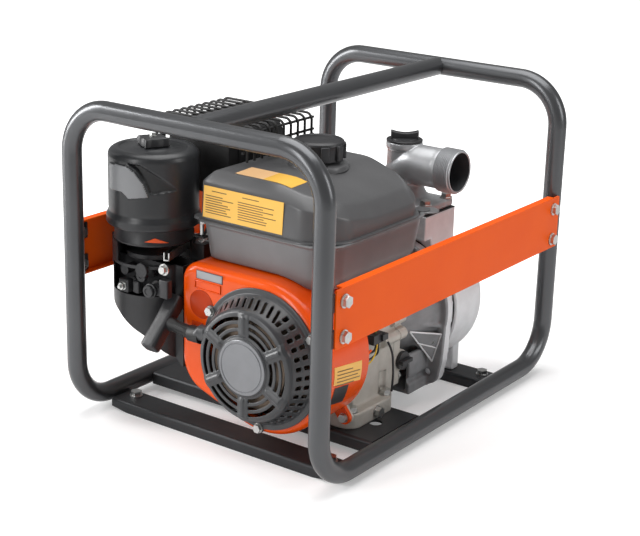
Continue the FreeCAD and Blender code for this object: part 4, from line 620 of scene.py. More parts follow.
def cast_copy(name: str, source: bpy.types.Object, finish: Finish, voxel: float, rounds: int,
              bend: Callable[[Vector], Vector] | None = None, most: int = 150000) -> bpy.types.Object:
    """Copy a CAD solid as a casting or moulding with soft edges.

    Args:
        name: the new object's name.
        source: the CAD node.
        finish: its surface.
        voxel: grain of the copy in millimetres; edges round off by about this.
        rounds: smoothing rounds.
        bend: moves each point of the copy, in millimetres.
        most: the most triangles that it keeps.

    Returns:
        The soft copy.
    """
    mesh = source.data.copy()
    work = bmesh.new()
    work.from_mesh(mesh)
    bmesh.ops.remove_doubles(work, verts=work.verts, dist=2 * MERGE_GAP)
    work.to_mesh(mesh)
    work.free()
    mesh.materials.clear()
    mesh.materials.append(finish.material())
    piece = new_object(name, mesh)
    rounded_off(piece, voxel, rounds)
    if bend:
        for vertex in piece.data.vertices:
            vertex.co = bend(vertex.co / MM) * MM
    count = sum(len(p.vertices) - 2 for p in piece.data.polygons)
    if count > most:
        modified(piece, "DECIMATE", CAST_EDGE, ratio=most / count)
    one_finish(piece, finish)
    soften(piece.data, CAST_EDGE)
    return piece


def one_finish(piece: bpy.types.Object, finish: Finish) -> None:
    """Give the whole piece a single finish.

    Args:
        piece: the piece.
        finish: its surface.
    """
    piece.data.materials.clear()
    piece.data.materials.append(finish.material())
    for face in piece.data.polygons:
        face.material_index = 0


def rounded_off(piece: bpy.types.Object, voxel: float, rounds: int) -> None:
    """Remesh a piece and smooth it, as a casting comes out of its mould.

    Args:
        piece: the closed piece.
        voxel: grain of the new mesh in millimetres; edges round off by about this.
        rounds: smoothing rounds.
    """
    modified(piece, "REMESH", CAST_EDGE, mode="VOXEL", voxel_size=voxel * MM)
    modified(piece, "SMOOTH", CAST_EDGE, factor=0.5, iterations=rounds)


def cut_away(piece: bpy.types.Object, tool: bpy.types.Object, sharp: float) -> None:
    """Cut a tool out of a piece, and drop the tool.

    Args:
        piece: the piece to cut.
        tool: the solid taken away.
        sharp: edges bent by more than this many degrees stay crisp.
    """
    modified(piece, "BOOLEAN", sharp, operation="DIFFERENCE", object=tool, solver="EXACT")
    bpy.data.objects.remove(tool)


def drop_down(piece: bpy.types.Object, slot: str, *nodes: str, body: Body = Body.MACHINE) -> None:
    """Ride a piece on its body, hide the CAD nodes that it stands for, and report it.

    Args:
        piece: the finished piece.
        slot: the record's slot that it is made of; not used.
        nodes: the CAD nodes that it stands for.
        body: the body that it moves with.
    """
    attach(piece, body.value)
    if nodes:
        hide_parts(*nodes)
    LOG.info("%s rides on %s", piece.name, body.value)


def drop_all(pieces: Sequence[bpy.types.Object], slot: str) -> None:
    """Drop pieces down on the machine."""
    for piece in pieces:
        drop_down(piece, slot)


# ---------------------------------------------------------------- repeated shapes
class NodeTree:
    """A Geometry Nodes tree in the making, with named inputs."""

    def __init__(self, name: str, **inputs: str) -> None:
        """Start a tree with its inputs and a material.

        Args:
            name: the tree's name.
            inputs: the socket kind of each input, underscores in its name for spaces.
        """
        self.group = bpy.data.node_groups.new(name, "GeometryNodeTree")
        sockets = self.group.interface
        sockets.new_socket("Geometry", in_out="OUTPUT", socket_type="NodeSocketGeometry")
        self.out = self.group.nodes.new("NodeGroupOutput")
        for key, kind in (*inputs.items(), ("Material", "Material")):
            sockets.new_socket(key.replace("_", " "), in_out="INPUT", socket_type="NodeSocket" + kind)
        self.given = self.group.nodes.new("NodeGroupInput").outputs

    def node(self, kind: str, **links: Input) -> bpy.types.Node:
        """Add a node and set or link its inputs by name."""
        return plug(self.group, self.group.nodes.new(kind), **links)

    def close(self, geometry: bpy.types.NodeSocket) -> bpy.types.NodeTree:
        """End the tree in Realize Instances and Set Material.

        Args:
            geometry: the socket with the shape.

        Returns:
            The finished tree.
        """
        real = self.node("GeometryNodeRealizeInstances", Geometry=geometry)
        dressed = self.node("GeometryNodeSetMaterial", Geometry=real.outputs["Geometry"],
                            Material=self.given["Material"])
        self.group.links.new(dressed.outputs["Geometry"], self.out.inputs["Geometry"])
        return self.group


@cache
def ring_of_ribs() -> bpy.types.NodeTree:
    """Upright ribs at equal steps round a circle.

    Returns:
        The tree.
    """
    tree = NodeTree("ring_of_ribs", Count="Int", Radius="Float", Rib_Size="Vector")
    given = tree.given
    circle = tree.node("GeometryNodeMeshCircle", Vertices=given["Count"], Radius=given["Radius"])
    rib = tree.node("GeometryNodeMeshCube", Size=given["Rib Size"])
    where = tree.node("GeometryNodeInputPosition")
    facing = tree.node("FunctionNodeAlignRotationToVector", Vector=where.outputs["Position"])
    facing.axis = "X"
    copies = tree.node("GeometryNodeInstanceOnPoints", Points=circle.outputs["Mesh"],
                       Instance=rib.outputs["Mesh"], Rotation=facing.outputs["Rotation"])
    return tree.close(copies.outputs["Instances"])


@cache
def screw_turns() -> bpy.types.NodeTree:
    """A wire that winds up an axis.

    Returns:
        The tree.
    """
    tree = NodeTree("screw_turns", Turns="Float", Radius="Float", Height="Float", Wire="Float")
    given = tree.given
    winding = tree.node("GeometryNodeCurveSpiral", Resolution=40, Rotations=given["Turns"],
                        Start_Radius=given["Radius"], End_Radius=given["Radius"],
                        Height=given["Height"])
    section = tree.node("GeometryNodeCurvePrimitiveCircle", Resolution=6, Radius=given["Wire"])
    wire = tree.node("GeometryNodeCurveToMesh", Curve=winding.outputs["Curve"],
                     Profile_Curve=section.outputs["Curve"], Fill_Caps=True)
    return tree.close(wire.outputs["Mesh"])


@cache
def printed_rows() -> bpy.types.NodeTree:
    """Rows of plain bars of uneven length, as on a generic label.

    Returns:
        The tree.
    """
    tree = NodeTree("printed_rows", Count="Int", Pitch="Vector", Bar_Size="Vector", Bar_Shift="Vector",
                    Shortest="Vector", Seed="Int")
    given = tree.given
    line = tree.node("GeometryNodeMeshLine", Count=given["Count"], Offset=given["Pitch"])
    bar = tree.node("GeometryNodeMeshCube", Size=given["Bar Size"])
    shifted = tree.node("GeometryNodeTransform", Geometry=bar.outputs["Mesh"],
                        Translation=given["Bar Shift"])
    uneven = tree.group.nodes.new("FunctionNodeRandomValue")
    uneven.data_type = "FLOAT_VECTOR"
    tree.group.links.new(given["Shortest"], uneven.inputs[0])
    uneven.inputs[1].default_value = (1, 1, 1)
    tree.group.links.new(given["Seed"], uneven.inputs["Seed"])
    copies = tree.node("GeometryNodeInstanceOnPoints", Points=line.outputs["Mesh"],
                       Instance=shifted.outputs["Geometry"])
    tree.group.links.new(uneven.outputs[0], copies.inputs["Scale"])
    return tree.close(copies.outputs["Instances"])


def grown(name: str, group: bpy.types.NodeTree, finish: Finish, place: Matrix,
          **values: float | int | tuple) -> bpy.types.Object:
    """Run a tree once and keep its result as a plain mesh in its place.

    Args:
        name: the object's name.
        group: the Geometry Nodes tree.
        finish: its surface.
        place: where the tree's own origin and axes go, in metres.
        values: the tree's inputs by name, underscores for spaces.

    Returns:
        The plain object.
    """
    carrier = new_object(name + "_tree", bpy.data.meshes.new(name + "_tree"))
    step = carrier.modifiers.new("grow", "NODES")
    step.node_group = group
    wanted = {key.replace("_", " "): value for key, value in values.items()}
    wanted["Material"] = finish.material()
    for item in group.interface.items_tree:
        if item.item_type == "SOCKET" and item.in_out == "INPUT":
            step[item.identifier] = wanted[item.name]
    carrier.update_tag()
    made = evaluated(carrier)
    bpy.data.objects.remove(carrier)
    made.transform(place)
    soften(made, 40)
    return new_object(name, made)


def swung(place: Vector, degrees: float, axis: str) -> Matrix:
    """A turn about an axis through a place in millimetres."""
    shift = Matrix.Translation(place * MM)
    return shift @ Matrix.Rotation(math.radians(degrees), 4, axis) @ shift.inverted()


def aimed(place: Point, axis: Point) -> Matrix:
    """A place in millimetres whose Z points along the axis."""
    turn = Vector(axis).to_track_quat("Z", "Y").to_matrix().to_4x4()
    return Matrix.Translation(Vector(place) * MM) @ turn


# ---------------------------------------------------------------- fuel tank
@dataclass
class FuelTank:
    """Moulded tank with a seam lip, filler, cap and bare labels. Sizes are in millimetres."""

    left: float = -55.0
    right: float = 146.0
    front: float = -195.0
    rear: float = 26.0
    seam_z: float = 279.0
    top_z: float = 342.0
    slope_x: float = 60.0
    slope: float = 0.36
    slope_softness: float = 5.0
    slope_reach: float = 110.0
    front_share: float = 0.55
    band: float = 14.5
    corners: tuple[float, float, float, float] = (9.0, 42.0, 34.0, 24.0)
    side_points: int = 26
    corner_points: int = 9
    corner_swell: float = 0.09
    cap_place: Flat = (37.5, -70.0)
    cap_radius: float = 34.0
    lip: float = 3.5
    draft: float = 9.0
    draft_depth: float = 60.0
    row_pitch: float = 3.1

    def build(self, nodes: dict[str, bpy.types.Object]) -> None:
        """Build the tank's pieces and put them on their bodies.

        Args:
            nodes: the CAD nodes by name.
        """
        drop_down(self._upper(), "tank_upper_plastic", "fuel_tank_upper")
        lower = self._lower(nodes["fuel_tank_lower"])
        drop_down(lower, "tank_lower_plastic", "fuel_tank_lower")
        drop_down(self._seam(), "tank_upper_plastic")
        drop_down(self._filler(), "tank_upper_plastic")
        drop_down(self._cap(), "black_plastic", "fuel_cap", body=Body.TANK_CAP)
        drop_all(self._labels(), "cover_plastic")

    def fall(self, x: float, y: float) -> float:
        """How far the top has dropped at that place, less towards the front.

        Args:
            x, y: the place in plan.

        Returns:
            The drop in millimetres.
        """
        t = (x - self.slope_x) / self.slope_softness
        soft = t if t > 30 else math.log1p(math.exp(t))
        back = min(max((y - self.front) / self.slope_reach, 0.0), 1.0)
        share = self.front_share + (1 - self.front_share) * back * back * (3 - 2 * back)
        return self.slope * self.slope_softness * soft * share

    def ring(self, inset: float) -> list[Flat]:
        """Plan outline of the tank, that far inside its sides.

        Args:
            inset: distance inside the outer outline.

        Returns:
            The outline's points, anticlockwise from the front left.
        """
        x0, x1 = self.left + inset, self.right - inset
        y0, y1 = self.front + inset, self.rear - inset
        cuts = [max(c - inset * 0.5, 3.0) for c in self.corners]
        cuts = [min(c, (x1 - x0) * 0.42, (y1 - y0) * 0.42) for c in cuts]
        ends = [((x0, y0 + cuts[0]), (x0 + cuts[0], y0)), ((x1 - cuts[1], y0), (x1, y0 + cuts[1])),
                ((x1, y1 - cuts[2]), (x1 - cuts[2], y1)), ((x0 + cuts[3], y1), (x0, y1 - cuts[3]))]

        def between(a: Flat, b: Flat, share: float, swell: float = 0.0) -> Flat:
            """The place a share of the way from one corner to the next, swollen outwards."""
            dx, dy = b[0] - a[0], b[1] - a[1]
            return a[0] + dx * share + dy * swell, a[1] + dy * share - dx * swell

        outline = []
        for (start, end), (following, _) in zip(ends, (*ends[1:], ends[0])):
            for share in (k / self.corner_points for k in range(self.corner_points)):
                outline.append(between(start, end, share, math.sin(math.pi * share) * self.corner_swell))
            for share in (k / self.side_points for k in range(self.side_points)):
                outline.append(between(end, following, share))
        for _ in range(2):
            sides = zip((outline[-1], *outline), outline, (*outline[1:], outline[0]))
            outline = [((a[0] + 2 * b[0] + c[0]) / 4, (a[1] + 2 * b[1] + c[1]) / 4) for a, b, c in sides]
        return outline

    def _upper(self) -> bpy.types.Object:
        """The upper half, with a sloping shoulder band and a top that falls to the right.

        Returns:
            The piece.
        """
        crown = [(1.0, self.band + 1.2), (1.4, self.band - 0.4), (2.4, self.band - 1.8),
                 (8.0, self.band - 7.6), (13.0, 2.2), (15.0, 0.9), (18.0, 0.25), (26.0, 0.0)]
        crown += [(26.0 + 7.0 * k, -0.1 * k) for k in range(1, 9)]
        rings = [[(x, y, self.seam_z + up) for x, y in self.ring(0.0)] for up in (1, 8)]
        rings += [[(x, y, self.top_z - drop - self.fall(x, y)) for x, y in self.ring(inset)]
                  for inset, drop in crown]
        return skinned("tank_upper_shell", rings, TANK_UPPER, 50)

    def _lower(self, source: bpy.types.Object) -> bpy.types.Object:
        """The lower half, narrowing downwards.

        Args:
            source: the CAD node.

        Returns:
            The piece.
        """
        middle = ((self.left + self.right) / 2, (self.front + self.rear) / 2)
        half = ((self.right - self.left) / 2, (self.rear - self.front) / 2)

        def narrow(p: Vector) -> Vector:
            """Pull a point in, more the lower it is.

            Args:
                p: a point in millimetres.

            Returns:
                Where it goes.
            """
            low = min(max((self.seam_z - self.lip - p.z) / self.draft_depth, 0.0), 1.0)
            pull = self.draft * low ** 0.8
            return Vector((p.x - (p.x - middle[0]) / half[0] * pull,
                           p.y - (p.y - middle[1]) / half[1] * pull * 0.6, p.z))

        return cast_copy("tank_lower_shell", source, TANK_LOWER, 1.3, 6, narrow, 90000)

    def _seam(self) -> bpy.types.Object:
        """The welded lip between the halves, with an ear at two corners.

        Returns:
            The piece.
        """
        rings = [[(x, y, self.seam_z + up) for x, y in self.ring(inset)]
                 for inset, up in ((-3.2, -1.6), (-4.2, -0.9), (-4.4, 0.6), (-3.8, 1.7), (1.5, 2.6))]
        lip = skinned("tank_seam_lip", rings, TANK_UPPER, 40)
        ears = [turned("tank_ear_left", [(0, 0), (9.2, 0), (9.6, 0.6), (9.6, 2.6), (9.0, 3.3), (0, 3.3)],
                       (-60.2, -181.0, self.seam_z - 1.7), UP, TANK_UPPER, 40),
                turned("tank_ear_right", [(0, 0), (10.6, 0), (11, 0.6), (11, 2.6), (10.4, 3.3), (0, 3.3)],
                       (134.0, 27.0, self.seam_z - 1.7), UP, TANK_UPPER, 48)]
        return joined("tank_seam_lip", [lip, *ears])

    def _filler(self) -> bpy.types.Object:
        """The raised flange round the filler neck.

        Returns:
            The piece.
        """
        x, y = self.cap_place
        profile = [(0, -4), (39.5, -4), (39.5, -0.5), (38.6, 2.2), (36.5, 3.4), (30, 4.2), (22, 4.6),
                   (20.4, 5.4), (20.0, 9.8), (0, 9.8)]
        return turned("filler_flange", profile, (x, y, self.top_z), UP, TANK_UPPER, 72)

    def _cap(self) -> bpy.types.Object:
        """The ribbed tank cap.

        Returns:
            The piece.
        """
        x, y = self.cap_place
        r = self.cap_radius
        profile = [(0, 7.0), (r - 4.5, 7.0), (r - 3.5, 8.0), (r - 2.6, 25.5), (r - 1.4, 28.0),
                   (r - 1.9, 30.6), (r - 3.6, 32.2), (r - 7.0, 33.0), (r - 8.4, 32.0), (r - 10.0, 31.4),
                   (10, 32.0), (0, 32.3)]
        disc = turned("fuel_cap_disc", profile, (x, y, self.top_z), UP, BLACK_PLASTIC, 72)
        ribs = grown("fuel_cap_ribs", ring_of_ribs(), BLACK_PLASTIC,
                     Matrix.Translation(Vector((x, y, self.top_z + 18.4)) * MM),
                     Count=9, Radius=(r - 2.2) * MM, Rib_Size=(5.4 * MM, 11.0 * MM, 20.0 * MM))
        ribs = bevelled(ribs, 1.3)
        return joined("fuel_cap_ribbed", [disc, ribs])

    def _labels(self) -> list[bpy.types.Object]:
        """An amber label with plain bars on the front, and a pale and an amber one on the top.

        Returns:
            The labels and their rows of bars.
        """
        face_y = self.front - 0.15

        def front_face(x: float, z: float) -> Point:
            """A point just off the front wall."""
            return x, face_y - 0.35, z

        def top_face(x: float, y: float) -> Point:
            """A point just off the top."""
            return x, y, self.top_z + 0.5 - self.fall(x, y)

        made = [draped("tank_front_label", ((-46.5, 284.5), (77, 284.5), (79, 325), (-44.5, 325)),
                       front_face, LABEL_AMBER, (0, 0.4, 0)),
                draped("tank_top_label_pale", ((-10, -177), (33, -177), (30, -141), (-13, -141)),
                       top_face, LABEL_PEACH, (0, 0, -0.5)),
                draped("tank_top_label", ((33.2, -177), (76, -177), (73, -141), (30.2, -141)),
                       top_face, LABEL_AMBER, (0, 0, -0.5))]
        bars = [("a", -32.0, 319.5, 28.0, 1, 3), ("b", -42.0, 313.0, 44.0, 8, 5),
                ("c", 16.0, 319.5, 44.0, 1, 8), ("d", 9.0, 313.0, 62.0, 8, 9)]
        for tag, x, z, width, count, seed in bars:
            place = Matrix.Translation(Vector((x, face_y - 0.45, z)) * MM)
            rows = grown("tank_label_rows_" + tag, printed_rows(), LABEL_INK, place, Count=count,
                         Pitch=(0, 0, -self.row_pitch * MM), Bar_Size=(width * MM, 0.12 * MM, 1.1 * MM),
                         Bar_Shift=(width / 2 * MM, 0, 0), Shortest=(0.55, 1, 1), Seed=seed)
            made.append(rows)
        return made


# ---------------------------------------------------------------- air cleaner
@dataclass
class AirCleaner:
    """Round air cleaner lid with a relief panel, its wing knob and the body under it."""

    x: float = -132.5
    y: float = -190.0
    low_z: float = 262.0
    body_low_z: float = 239.8
    neck_low_z: float = 219.0
    top_z: float = 359.0
    radius: float = 58.0
    facing: float = math.radians(-54.4)
    steps: int = 360
    body_radius: float = 51.3
    knob_radius: float = 23.0
    lid_height: float = 97.0
    levels: int = 75
    fin_step: float = 2.4
    fin_edge: float = 1.3
    wedge_depth: float = 5.0
    wedge_edge: float = 1.6
    fade_end: float = 46.0
    fade_reach: float = 56.0
    fade_least: float = 0.15
    panel_margin: float = 0.9
    tuck_radius: float = 46.0
    disc_low_z: float = 236.0
    disc_high_z: float = 250.0
    fin: tuple[Flat, ...] = ((-62, 344), (-29.5, 346), (-16.8, 339), (-6.7, 325.7), (0.6, 307),
                             (-27, 303), (-30, 306.5), (-36.6, 310.6), (-62, 310))
    wedge: tuple[Flat, ...] = ((-46, 350.5), (-10, 347.5), (14.3, 333), (40, 314.5), (2, 310.5),
                               (-5.2, 326.5), (-15.6, 340.6), (-29, 348.4))

    def build(self, nodes: dict[str, bpy.types.Object]) -> None:
        """Build the lid, body, base and knob.

        Args:
            nodes: the CAD nodes by name.
        """
        base = self._base(nodes["air_cleaner_base"])
        drop_down(base, "black_plastic", "air_cleaner_base")
        drop_all(self._tab(), "black_plastic")
        drop_down(self._lid(), "cleaner_plastic", "air_cleaner_cover")
        drop_all(self._body(), "cleaner_plastic")
        drop_down(self._knob(), "black_plastic", "air_cleaner_knob", body=Body.CLEANER_KNOB)
        drop_down(self._knob_nut(), "zinc_steel", body=Body.CLEANER_KNOB)
        drop_down(self._patch(), "orange_paint")

    def _wall(self, z: float) -> float:
        """Radius of the plain lid at that height.

        Args:
            z: height.

        Returns:
            The radius in millimetres.
        """
        rows = [*((self.low_z + up, r) for up, r in ((0, 58.6), (2, 60.8), (11, 60.4), (14, 59.0),
                                                     (17, 57.6), (22, 57.8))),
                *((self.top_z - down, r) for down, r in ((9, 57.6), (5, 56.6), (2, 54.2), (0, 50.5)))]
        for (z0, r0), (z1, r1) in zip(rows, rows[1:]):
            if z0 <= z <= z1:
                return r0 + (r1 - r0) * (z - z0) / (z1 - z0)
        return rows[-1][1]

    @staticmethod
    def _inside(point: Flat, outline: Sequence[Flat]) -> float:
        """How deep a point is inside an outline, negative outside.

        Args:
            point: distance round the wall and height.
            outline: the outline's corners.

        Returns:
            The depth in millimetres.
        """
        px, py = point
        within = False
        nearest = math.inf
        for (x0, y0), (x1, y1) in zip(outline, (*outline[1:], outline[0])):
            dx, dy = x1 - x0, y1 - y0
            if (y0 > py) != (y1 > py) and px < dx * (py - y0) / dy + x0:
                within = not within
            along = min(max(((px - x0) * dx + (py - y0) * dy) / max(dx ** 2 + dy ** 2, 1e-9), 0.0), 1.0)
            nearest = min(nearest, math.hypot(px - x0 - along * dx, py - y0 - along * dy))
        return nearest if within else -nearest

    def _arc(self, turn: float) -> float:
        """Distance round the wall from the lid's front to an angle about its axis."""
        return ((turn - self.facing + math.pi) % FULL_TURN - math.pi) * self.radius

    def _relief(self, turn: float, z: float) -> float:
        """Step of the relief panel: proud of the wall in the fin, sunk in the wedge beside it.

        Args:
            turn: angle about the lid's axis.
            z: height.

        Returns:
            How far the wall steps out.
        """
        arc = self._arc(turn)
        step = min(max(self._inside((arc, z), self.fin) / self.fin_edge, 0.0), 1.0) * self.fin_step
        deep = min(max(self._inside((arc, z), self.wedge) / self.wedge_edge, 0.0), 1.0)
        fade = min(max((self.fade_end - arc) / self.fade_reach, self.fade_least), 1.0)
        return step - deep * fade * self.wedge_depth

    def _lid(self) -> bpy.types.Object:
        """The lid as one closed skin.

        Returns:
            The piece.
        """
        rings = [self._ring(lambda turn: 52.0, self.low_z + 3), self._ring(lambda turn: 56.5, self.low_z)]
        for k in range(self.levels):
            z = self.low_z + self.lid_height * k / (self.levels - 1)
            rings.append(self._ring(lambda turn, z=z: self._wall(z) + self._relief(turn, z), z))
        for r, rise in ((47.5, 0.6), (45.0, 0.4), (43.0, -1.2), (27.0, -1.0), (25.0, 0.2), (12.0, 0.4),
                        (1.0, 0.4)):
            rings.append(self._ring(lambda turn, r=r: r, self.top_z + rise))
        lid = skinned("air_cleaner_lid", rings, CLEANER_PLASTIC, 34)

        def within(outline: Sequence[Flat]) -> Callable[[Vector], bool]:
            """A test of whether a place on the lid's wall is well inside an outline.

            Args:
                outline: the outline's corners.

            Returns:
                The test.
            """
            def test(place: Vector) -> bool:
                """The test of one place."""
                arc = self._arc(math.atan2(place.y - self.y, place.x - self.x))
                inside = self._inside((arc, place.z), outline) > self.panel_margin
                return place.z < self.top_z - 8 and inside

            return test

        paint(lid, CLEANER_FIN, within(self.fin))
        # The sunk wedge is painted near-black: painted shade.
        paint(lid, CLEANER_WEDGE_SHADE, within(self.wedge))
        return lid

    def _base(self, source: bpy.types.Object) -> bpy.types.Object:
        """The base plate, drawn in so that the body hides its rim.

        Args:
            source: the CAD node.

        Returns:
            The piece.
        """
        def tucked(p: Vector) -> Vector:
            """Pull the disc's rim in.

            Args:
                p: a point in millimetres.

            Returns:
                Where it goes.
            """
            dx, dy = p.x - self.x, p.y - self.y
            reach = math.hypot(dx, dy)
            if not self.disc_low_z < p.z < self.disc_high_z or reach < self.tuck_radius:
                return p
            shrink = (self.tuck_radius + (reach - self.tuck_radius) * 0.3) / reach
            return Vector((self.x + dx * shrink, self.y + dy * shrink, p.z))

        return cast_copy("air_cleaner_base_moulded", source, BLACK_PLASTIC, 1.3, 2, tucked, 60000)

    def _tab(self) -> list[bpy.types.Object]:
        """The upright tab beside the body, with its bare plate."""
        return [block("cleaner_tab", (-181, -217, 203), (-171.5, -208, 243), BLACK_PLASTIC, 0.9),
                block("cleaner_tab_plate", (-179.8, -217.7, 206), (-172.7, -216.8, 240), COVER_PLASTIC,
                      0.3)]

    def _ring(self, reach: Callable[[float], float], z: float) -> list[Point]:
        """One level ring whose radius depends on the angle."""
        return around(self.steps, lambda turn: (*polar(self.x, self.y, reach(turn), turn), z))

    def _body(self) -> list[bpy.types.Object]:
        """The body under the lid and the neck under it, apart by the throttle lever's sweep.

        Returns:
            The body and the neck.
        """
        body = [(0, 0), (48.6, 0), (51.2, 1.4), (51.8, 3.4), (50.6, 5.4), (50.6, 25.0), (0, 25.0)]
        neck = [(0, 0), (35.4, 0), (36, 0.6), (36, 6.2), (0, 6.2)]
        return [turned(name, profile, (self.x, self.y, z), UP, BLACK_PLASTIC, 96)
                for name, profile, z in (("air_cleaner_body", body, self.body_low_z),
                                         ("air_cleaner_neck", neck, self.neck_low_z))]

    def _knob(self) -> bpy.types.Object:
        """The low four-winged knob.

        Returns:
            The piece.
        """
        def wing(turn: float) -> float:
            """Reach of the knob's outline at an angle."""
            lobe = math.cos(4 * turn)
            return self.knob_radius * (0.74 + 0.26 * lobe ** 3 if lobe > 0 else 0.74)

        rings = [around(96, lambda turn: (*polar(self.x, self.y, wing(turn) * scale, turn + 0.3),
                                          self.top_z + 0.7 + z))
                 for scale, z in ((0.9, 0.0), (1.0, 1.4), (1.0, 8.2), (0.93, 10.8), (0.62, 12.4),
                                  (0.3, 12.6))]
        return skinned("air_cleaner_wing_knob", rings, BLACK_PLASTIC, 30)

    def _knob_nut(self) -> bpy.types.Object:
        """The plated nut on the knob."""
        return hex_head("air_cleaner_nut", (self.x, self.y, self.top_z + 12.8), UP, 8.0, 3.6, ZINC)

    def _patch(self) -> bpy.types.Object:
        """The small orange pointer patch on the body.

        Returns:
            The piece.
        """
        corners = ((-62.0, 247.6), (-47.0, 252.8), (-27.0, 245.8), (-46.0, 246.8))

        def wall(angle: float, z: float) -> Point:
            """A point just off the body."""
            return *polar(self.x, self.y, self.body_radius, math.radians(angle)), z

        return draped("air_cleaner_patch", corners, wall, ORANGE_PAINT, (0, 0.6, 0))


# ---------------------------------------------------------------- controls
@dataclass
class Controls:
    """Small fittings on the control housing, beside the choke and fuel levers."""

    face_y: float = -236.0

    def build(self) -> None:
        """Build the fixed fittings and the knobs on the levers."""
        drop_all(self._fixed(), "black_plastic")
        drop_all(self._bright(), "zinc_steel")
        drop_down(self._cock_knob(), "black_plastic", body=Body.FUEL_COCK)
        drop_down(self._choke_knob(), "black_plastic", body=Body.CHOKE)

    def _fixed(self) -> list[bpy.types.Object]:
        """Black blocks, plates and the shield behind the levers.

        Returns:
            The pieces.
        """
        return [block("stud_block", (-145, -244, 178), (-129, -233, 195), BLACK_PLASTIC, 1.6),
                block("choke_stop", (-124, -241, 179), (-114, -234, 195), BLACK_PLASTIC, 1.8),
                block("cock_stop", (-78, -243, 183), (-64, -233, 207), BLACK_PLASTIC, 1.6),
                turned("choke_plate", [(0, 0), (9, 0), (9.6, 0.8), (9.6, 4), (9, 4.6), (0, 4.6)],
                       (-110, self.face_y, 211), FRONT, BLACK_PLASTIC, 48),
                block("intake_shield", (-158, -130, 176), (-119, -126.5, 240), BLACK_STEEL, 0.6),
                block("ear_bracket", (-70, -187, 252), (-52, -175, 254), BLACK_STEEL, 0.5)]

    def _bright(self) -> list[bpy.types.Object]:
        """Plated nuts, a screw and the governor spring.

        Returns:
            The pieces.
        """
        nut = hex_head("stud_nut", (-137, -244, 186.5), FRONT, 9.0, 5.0, ZINC)
        end = turned("stud_end", [(0, 0), (2.6, 0), (2.6, 3.4), (2.2, 4), (0, 4)],
                     (-137, -248.6, 186.5), FRONT, ZINC, 24)
        screw = hex_head("housing_screw", (-74.5, -236, 219), FRONT, 9.5, 6.0, ZINC, 7.5)
        ear = hex_head("ear_bolt", (-60.2, -181, 275.8), DOWN, 9.5, 6.5, ZINC)
        shank = turned("ear_bolt_shank", [(0, 0), (2.9, 0), (2.9, 14), (0, 14)], (-60.2, -181, 269), DOWN,
                       ZINC, 24)
        spring = grown("governor_spring", screw_turns(), ZINC, aimed((-66, -176, 245), (-0.25, 1, 0.05)),
                       Turns=15.0, Radius=3.0 * MM, Height=34 * MM, Wire=0.5 * MM)
        return [nut, end, screw, ear, shank, spring]

    def _cock_knob(self) -> bpy.types.Object:
        """The round hub of the fuel lever."""
        profile = [(0, 0), (8.8, 0), (9.3, 0.8), (9.3, 3), (8.0, 3.6), (8.0, 7.4), (7.4, 8.2), (4.6, 8.4),
                   (4.2, 7.6), (0, 7.6)]
        return turned("fuel_lever_hub", profile, (-92, -240.3, 189), FRONT, BLACK_PLASTIC, 48)

    def _choke_knob(self) -> bpy.types.Object:
        """The round hub of the choke lever."""
        profile = [(0, 0), (7.4, 0), (8.0, 0.8), (8.0, 6), (7.4, 6.8), (3.2, 7.0), (3.0, 6.2), (0, 6.2)]
        return turned("choke_lever_hub", profile, (-112, -232.3, 203), FRONT, BLACK_PLASTIC, 48)


# ---------------------------------------------------------------- starter
@dataclass
class StarterGrip:
    """Flat-sided pull grip and the ribbed sleeve behind it."""

    centre: Point = (-71.5, -241.5, 151.0)
    tilt: float = 45.0
    length: float = 76.0
    width: float = 22.0
    depth: float = 19.0
    neck_end: float = -31.5
    neck_drop: float = 4.0
    squareness: float = 5.5

    def build(self) -> None:
        """Build the grip in place of its CAD node, and the collar on the cover."""
        drop_down(self._grip(), "black_plastic", "starter_grip", body=Body.GRIP)
        drop_down(self._collar(), "black_plastic")

    def _grip(self) -> bpy.types.Object:
        """Bar, neck and ribs as one moulding.

        Returns:
            The piece.
        """
        lean = math.radians(self.tilt)
        along = Vector((0, math.cos(lean), math.sin(lean)))
        across = Vector(RIGHT)
        out = along.cross(across)
        middle = Vector(self.centre)

        def section(turn: float, scale: float) -> Vector:
            """A point of the bar's flat-sided section about its middle.

            Args:
                turn: angle round the section.
                scale: share of its full size.

            Returns:
                The offset from the middle.
            """
            c, s = math.cos(turn), math.sin(turn)
            square = (abs(c) ** self.squareness + abs(s) ** self.squareness) ** (-1 / self.squareness)
            return (across * (c * square * self.width / 2 * scale)
                    + out * (s * square * self.depth / 2 * scale))

        half_bar = ((0.0, 0.96), (0.15, 0.97), (0.3, 1.0), (0.46, 1.0), (0.485, 0.94), (0.5, 0.8))
        rings = [around(48, lambda turn: middle + along * (step * self.length) + section(turn, scale))
                 for step, scale in (*((-step, scale) for step, scale in half_bar[:0:-1]), *half_bar)]
        bar = skinned("starter_bar", rings, BLACK_PLASTIC, 30)
        start = Vector((middle.x + 5, -239.0, middle.z + 0.6))
        aim = Vector((self.neck_end, -238.6, middle.z - self.neck_drop)) - start
        reach = aim.length
        profile = [(0, 0), (9.4, 0), (9.2, 7), (8.2, 11), (7.7, 14), (7.7, reach - 1.5), (7.0, reach),
                   (0, reach)]
        neck = turned("starter_neck", profile, tuple(start), tuple(aim), RUBBER, 48)
        ribs = grown("starter_neck_ribs", ring_of_ribs(), RUBBER,
                     aimed(tuple(start + aim * 0.66), tuple(aim)),
                     Count=10, Radius=7.5 * MM, Rib_Size=(1.6 * MM, 1.4 * MM, 15 * MM))
        return joined("starter_grip_moulded", [bar, neck, ribs])

    def _collar(self) -> bpy.types.Object:
        """The black collar where the rope leaves the cover."""
        base = (-31.0, -238.0, 146.8)
        profile = [(7.3, 9.0), (7.3, 19), (10.4, 19), (10.4, 2), (9.6, 0.6), (4.0, 0), (3.4, 0), (3.4, 9.0)]
        return turned("rope_collar", profile, base, RIGHT, RUBBER, 48, 30, hollow=True)


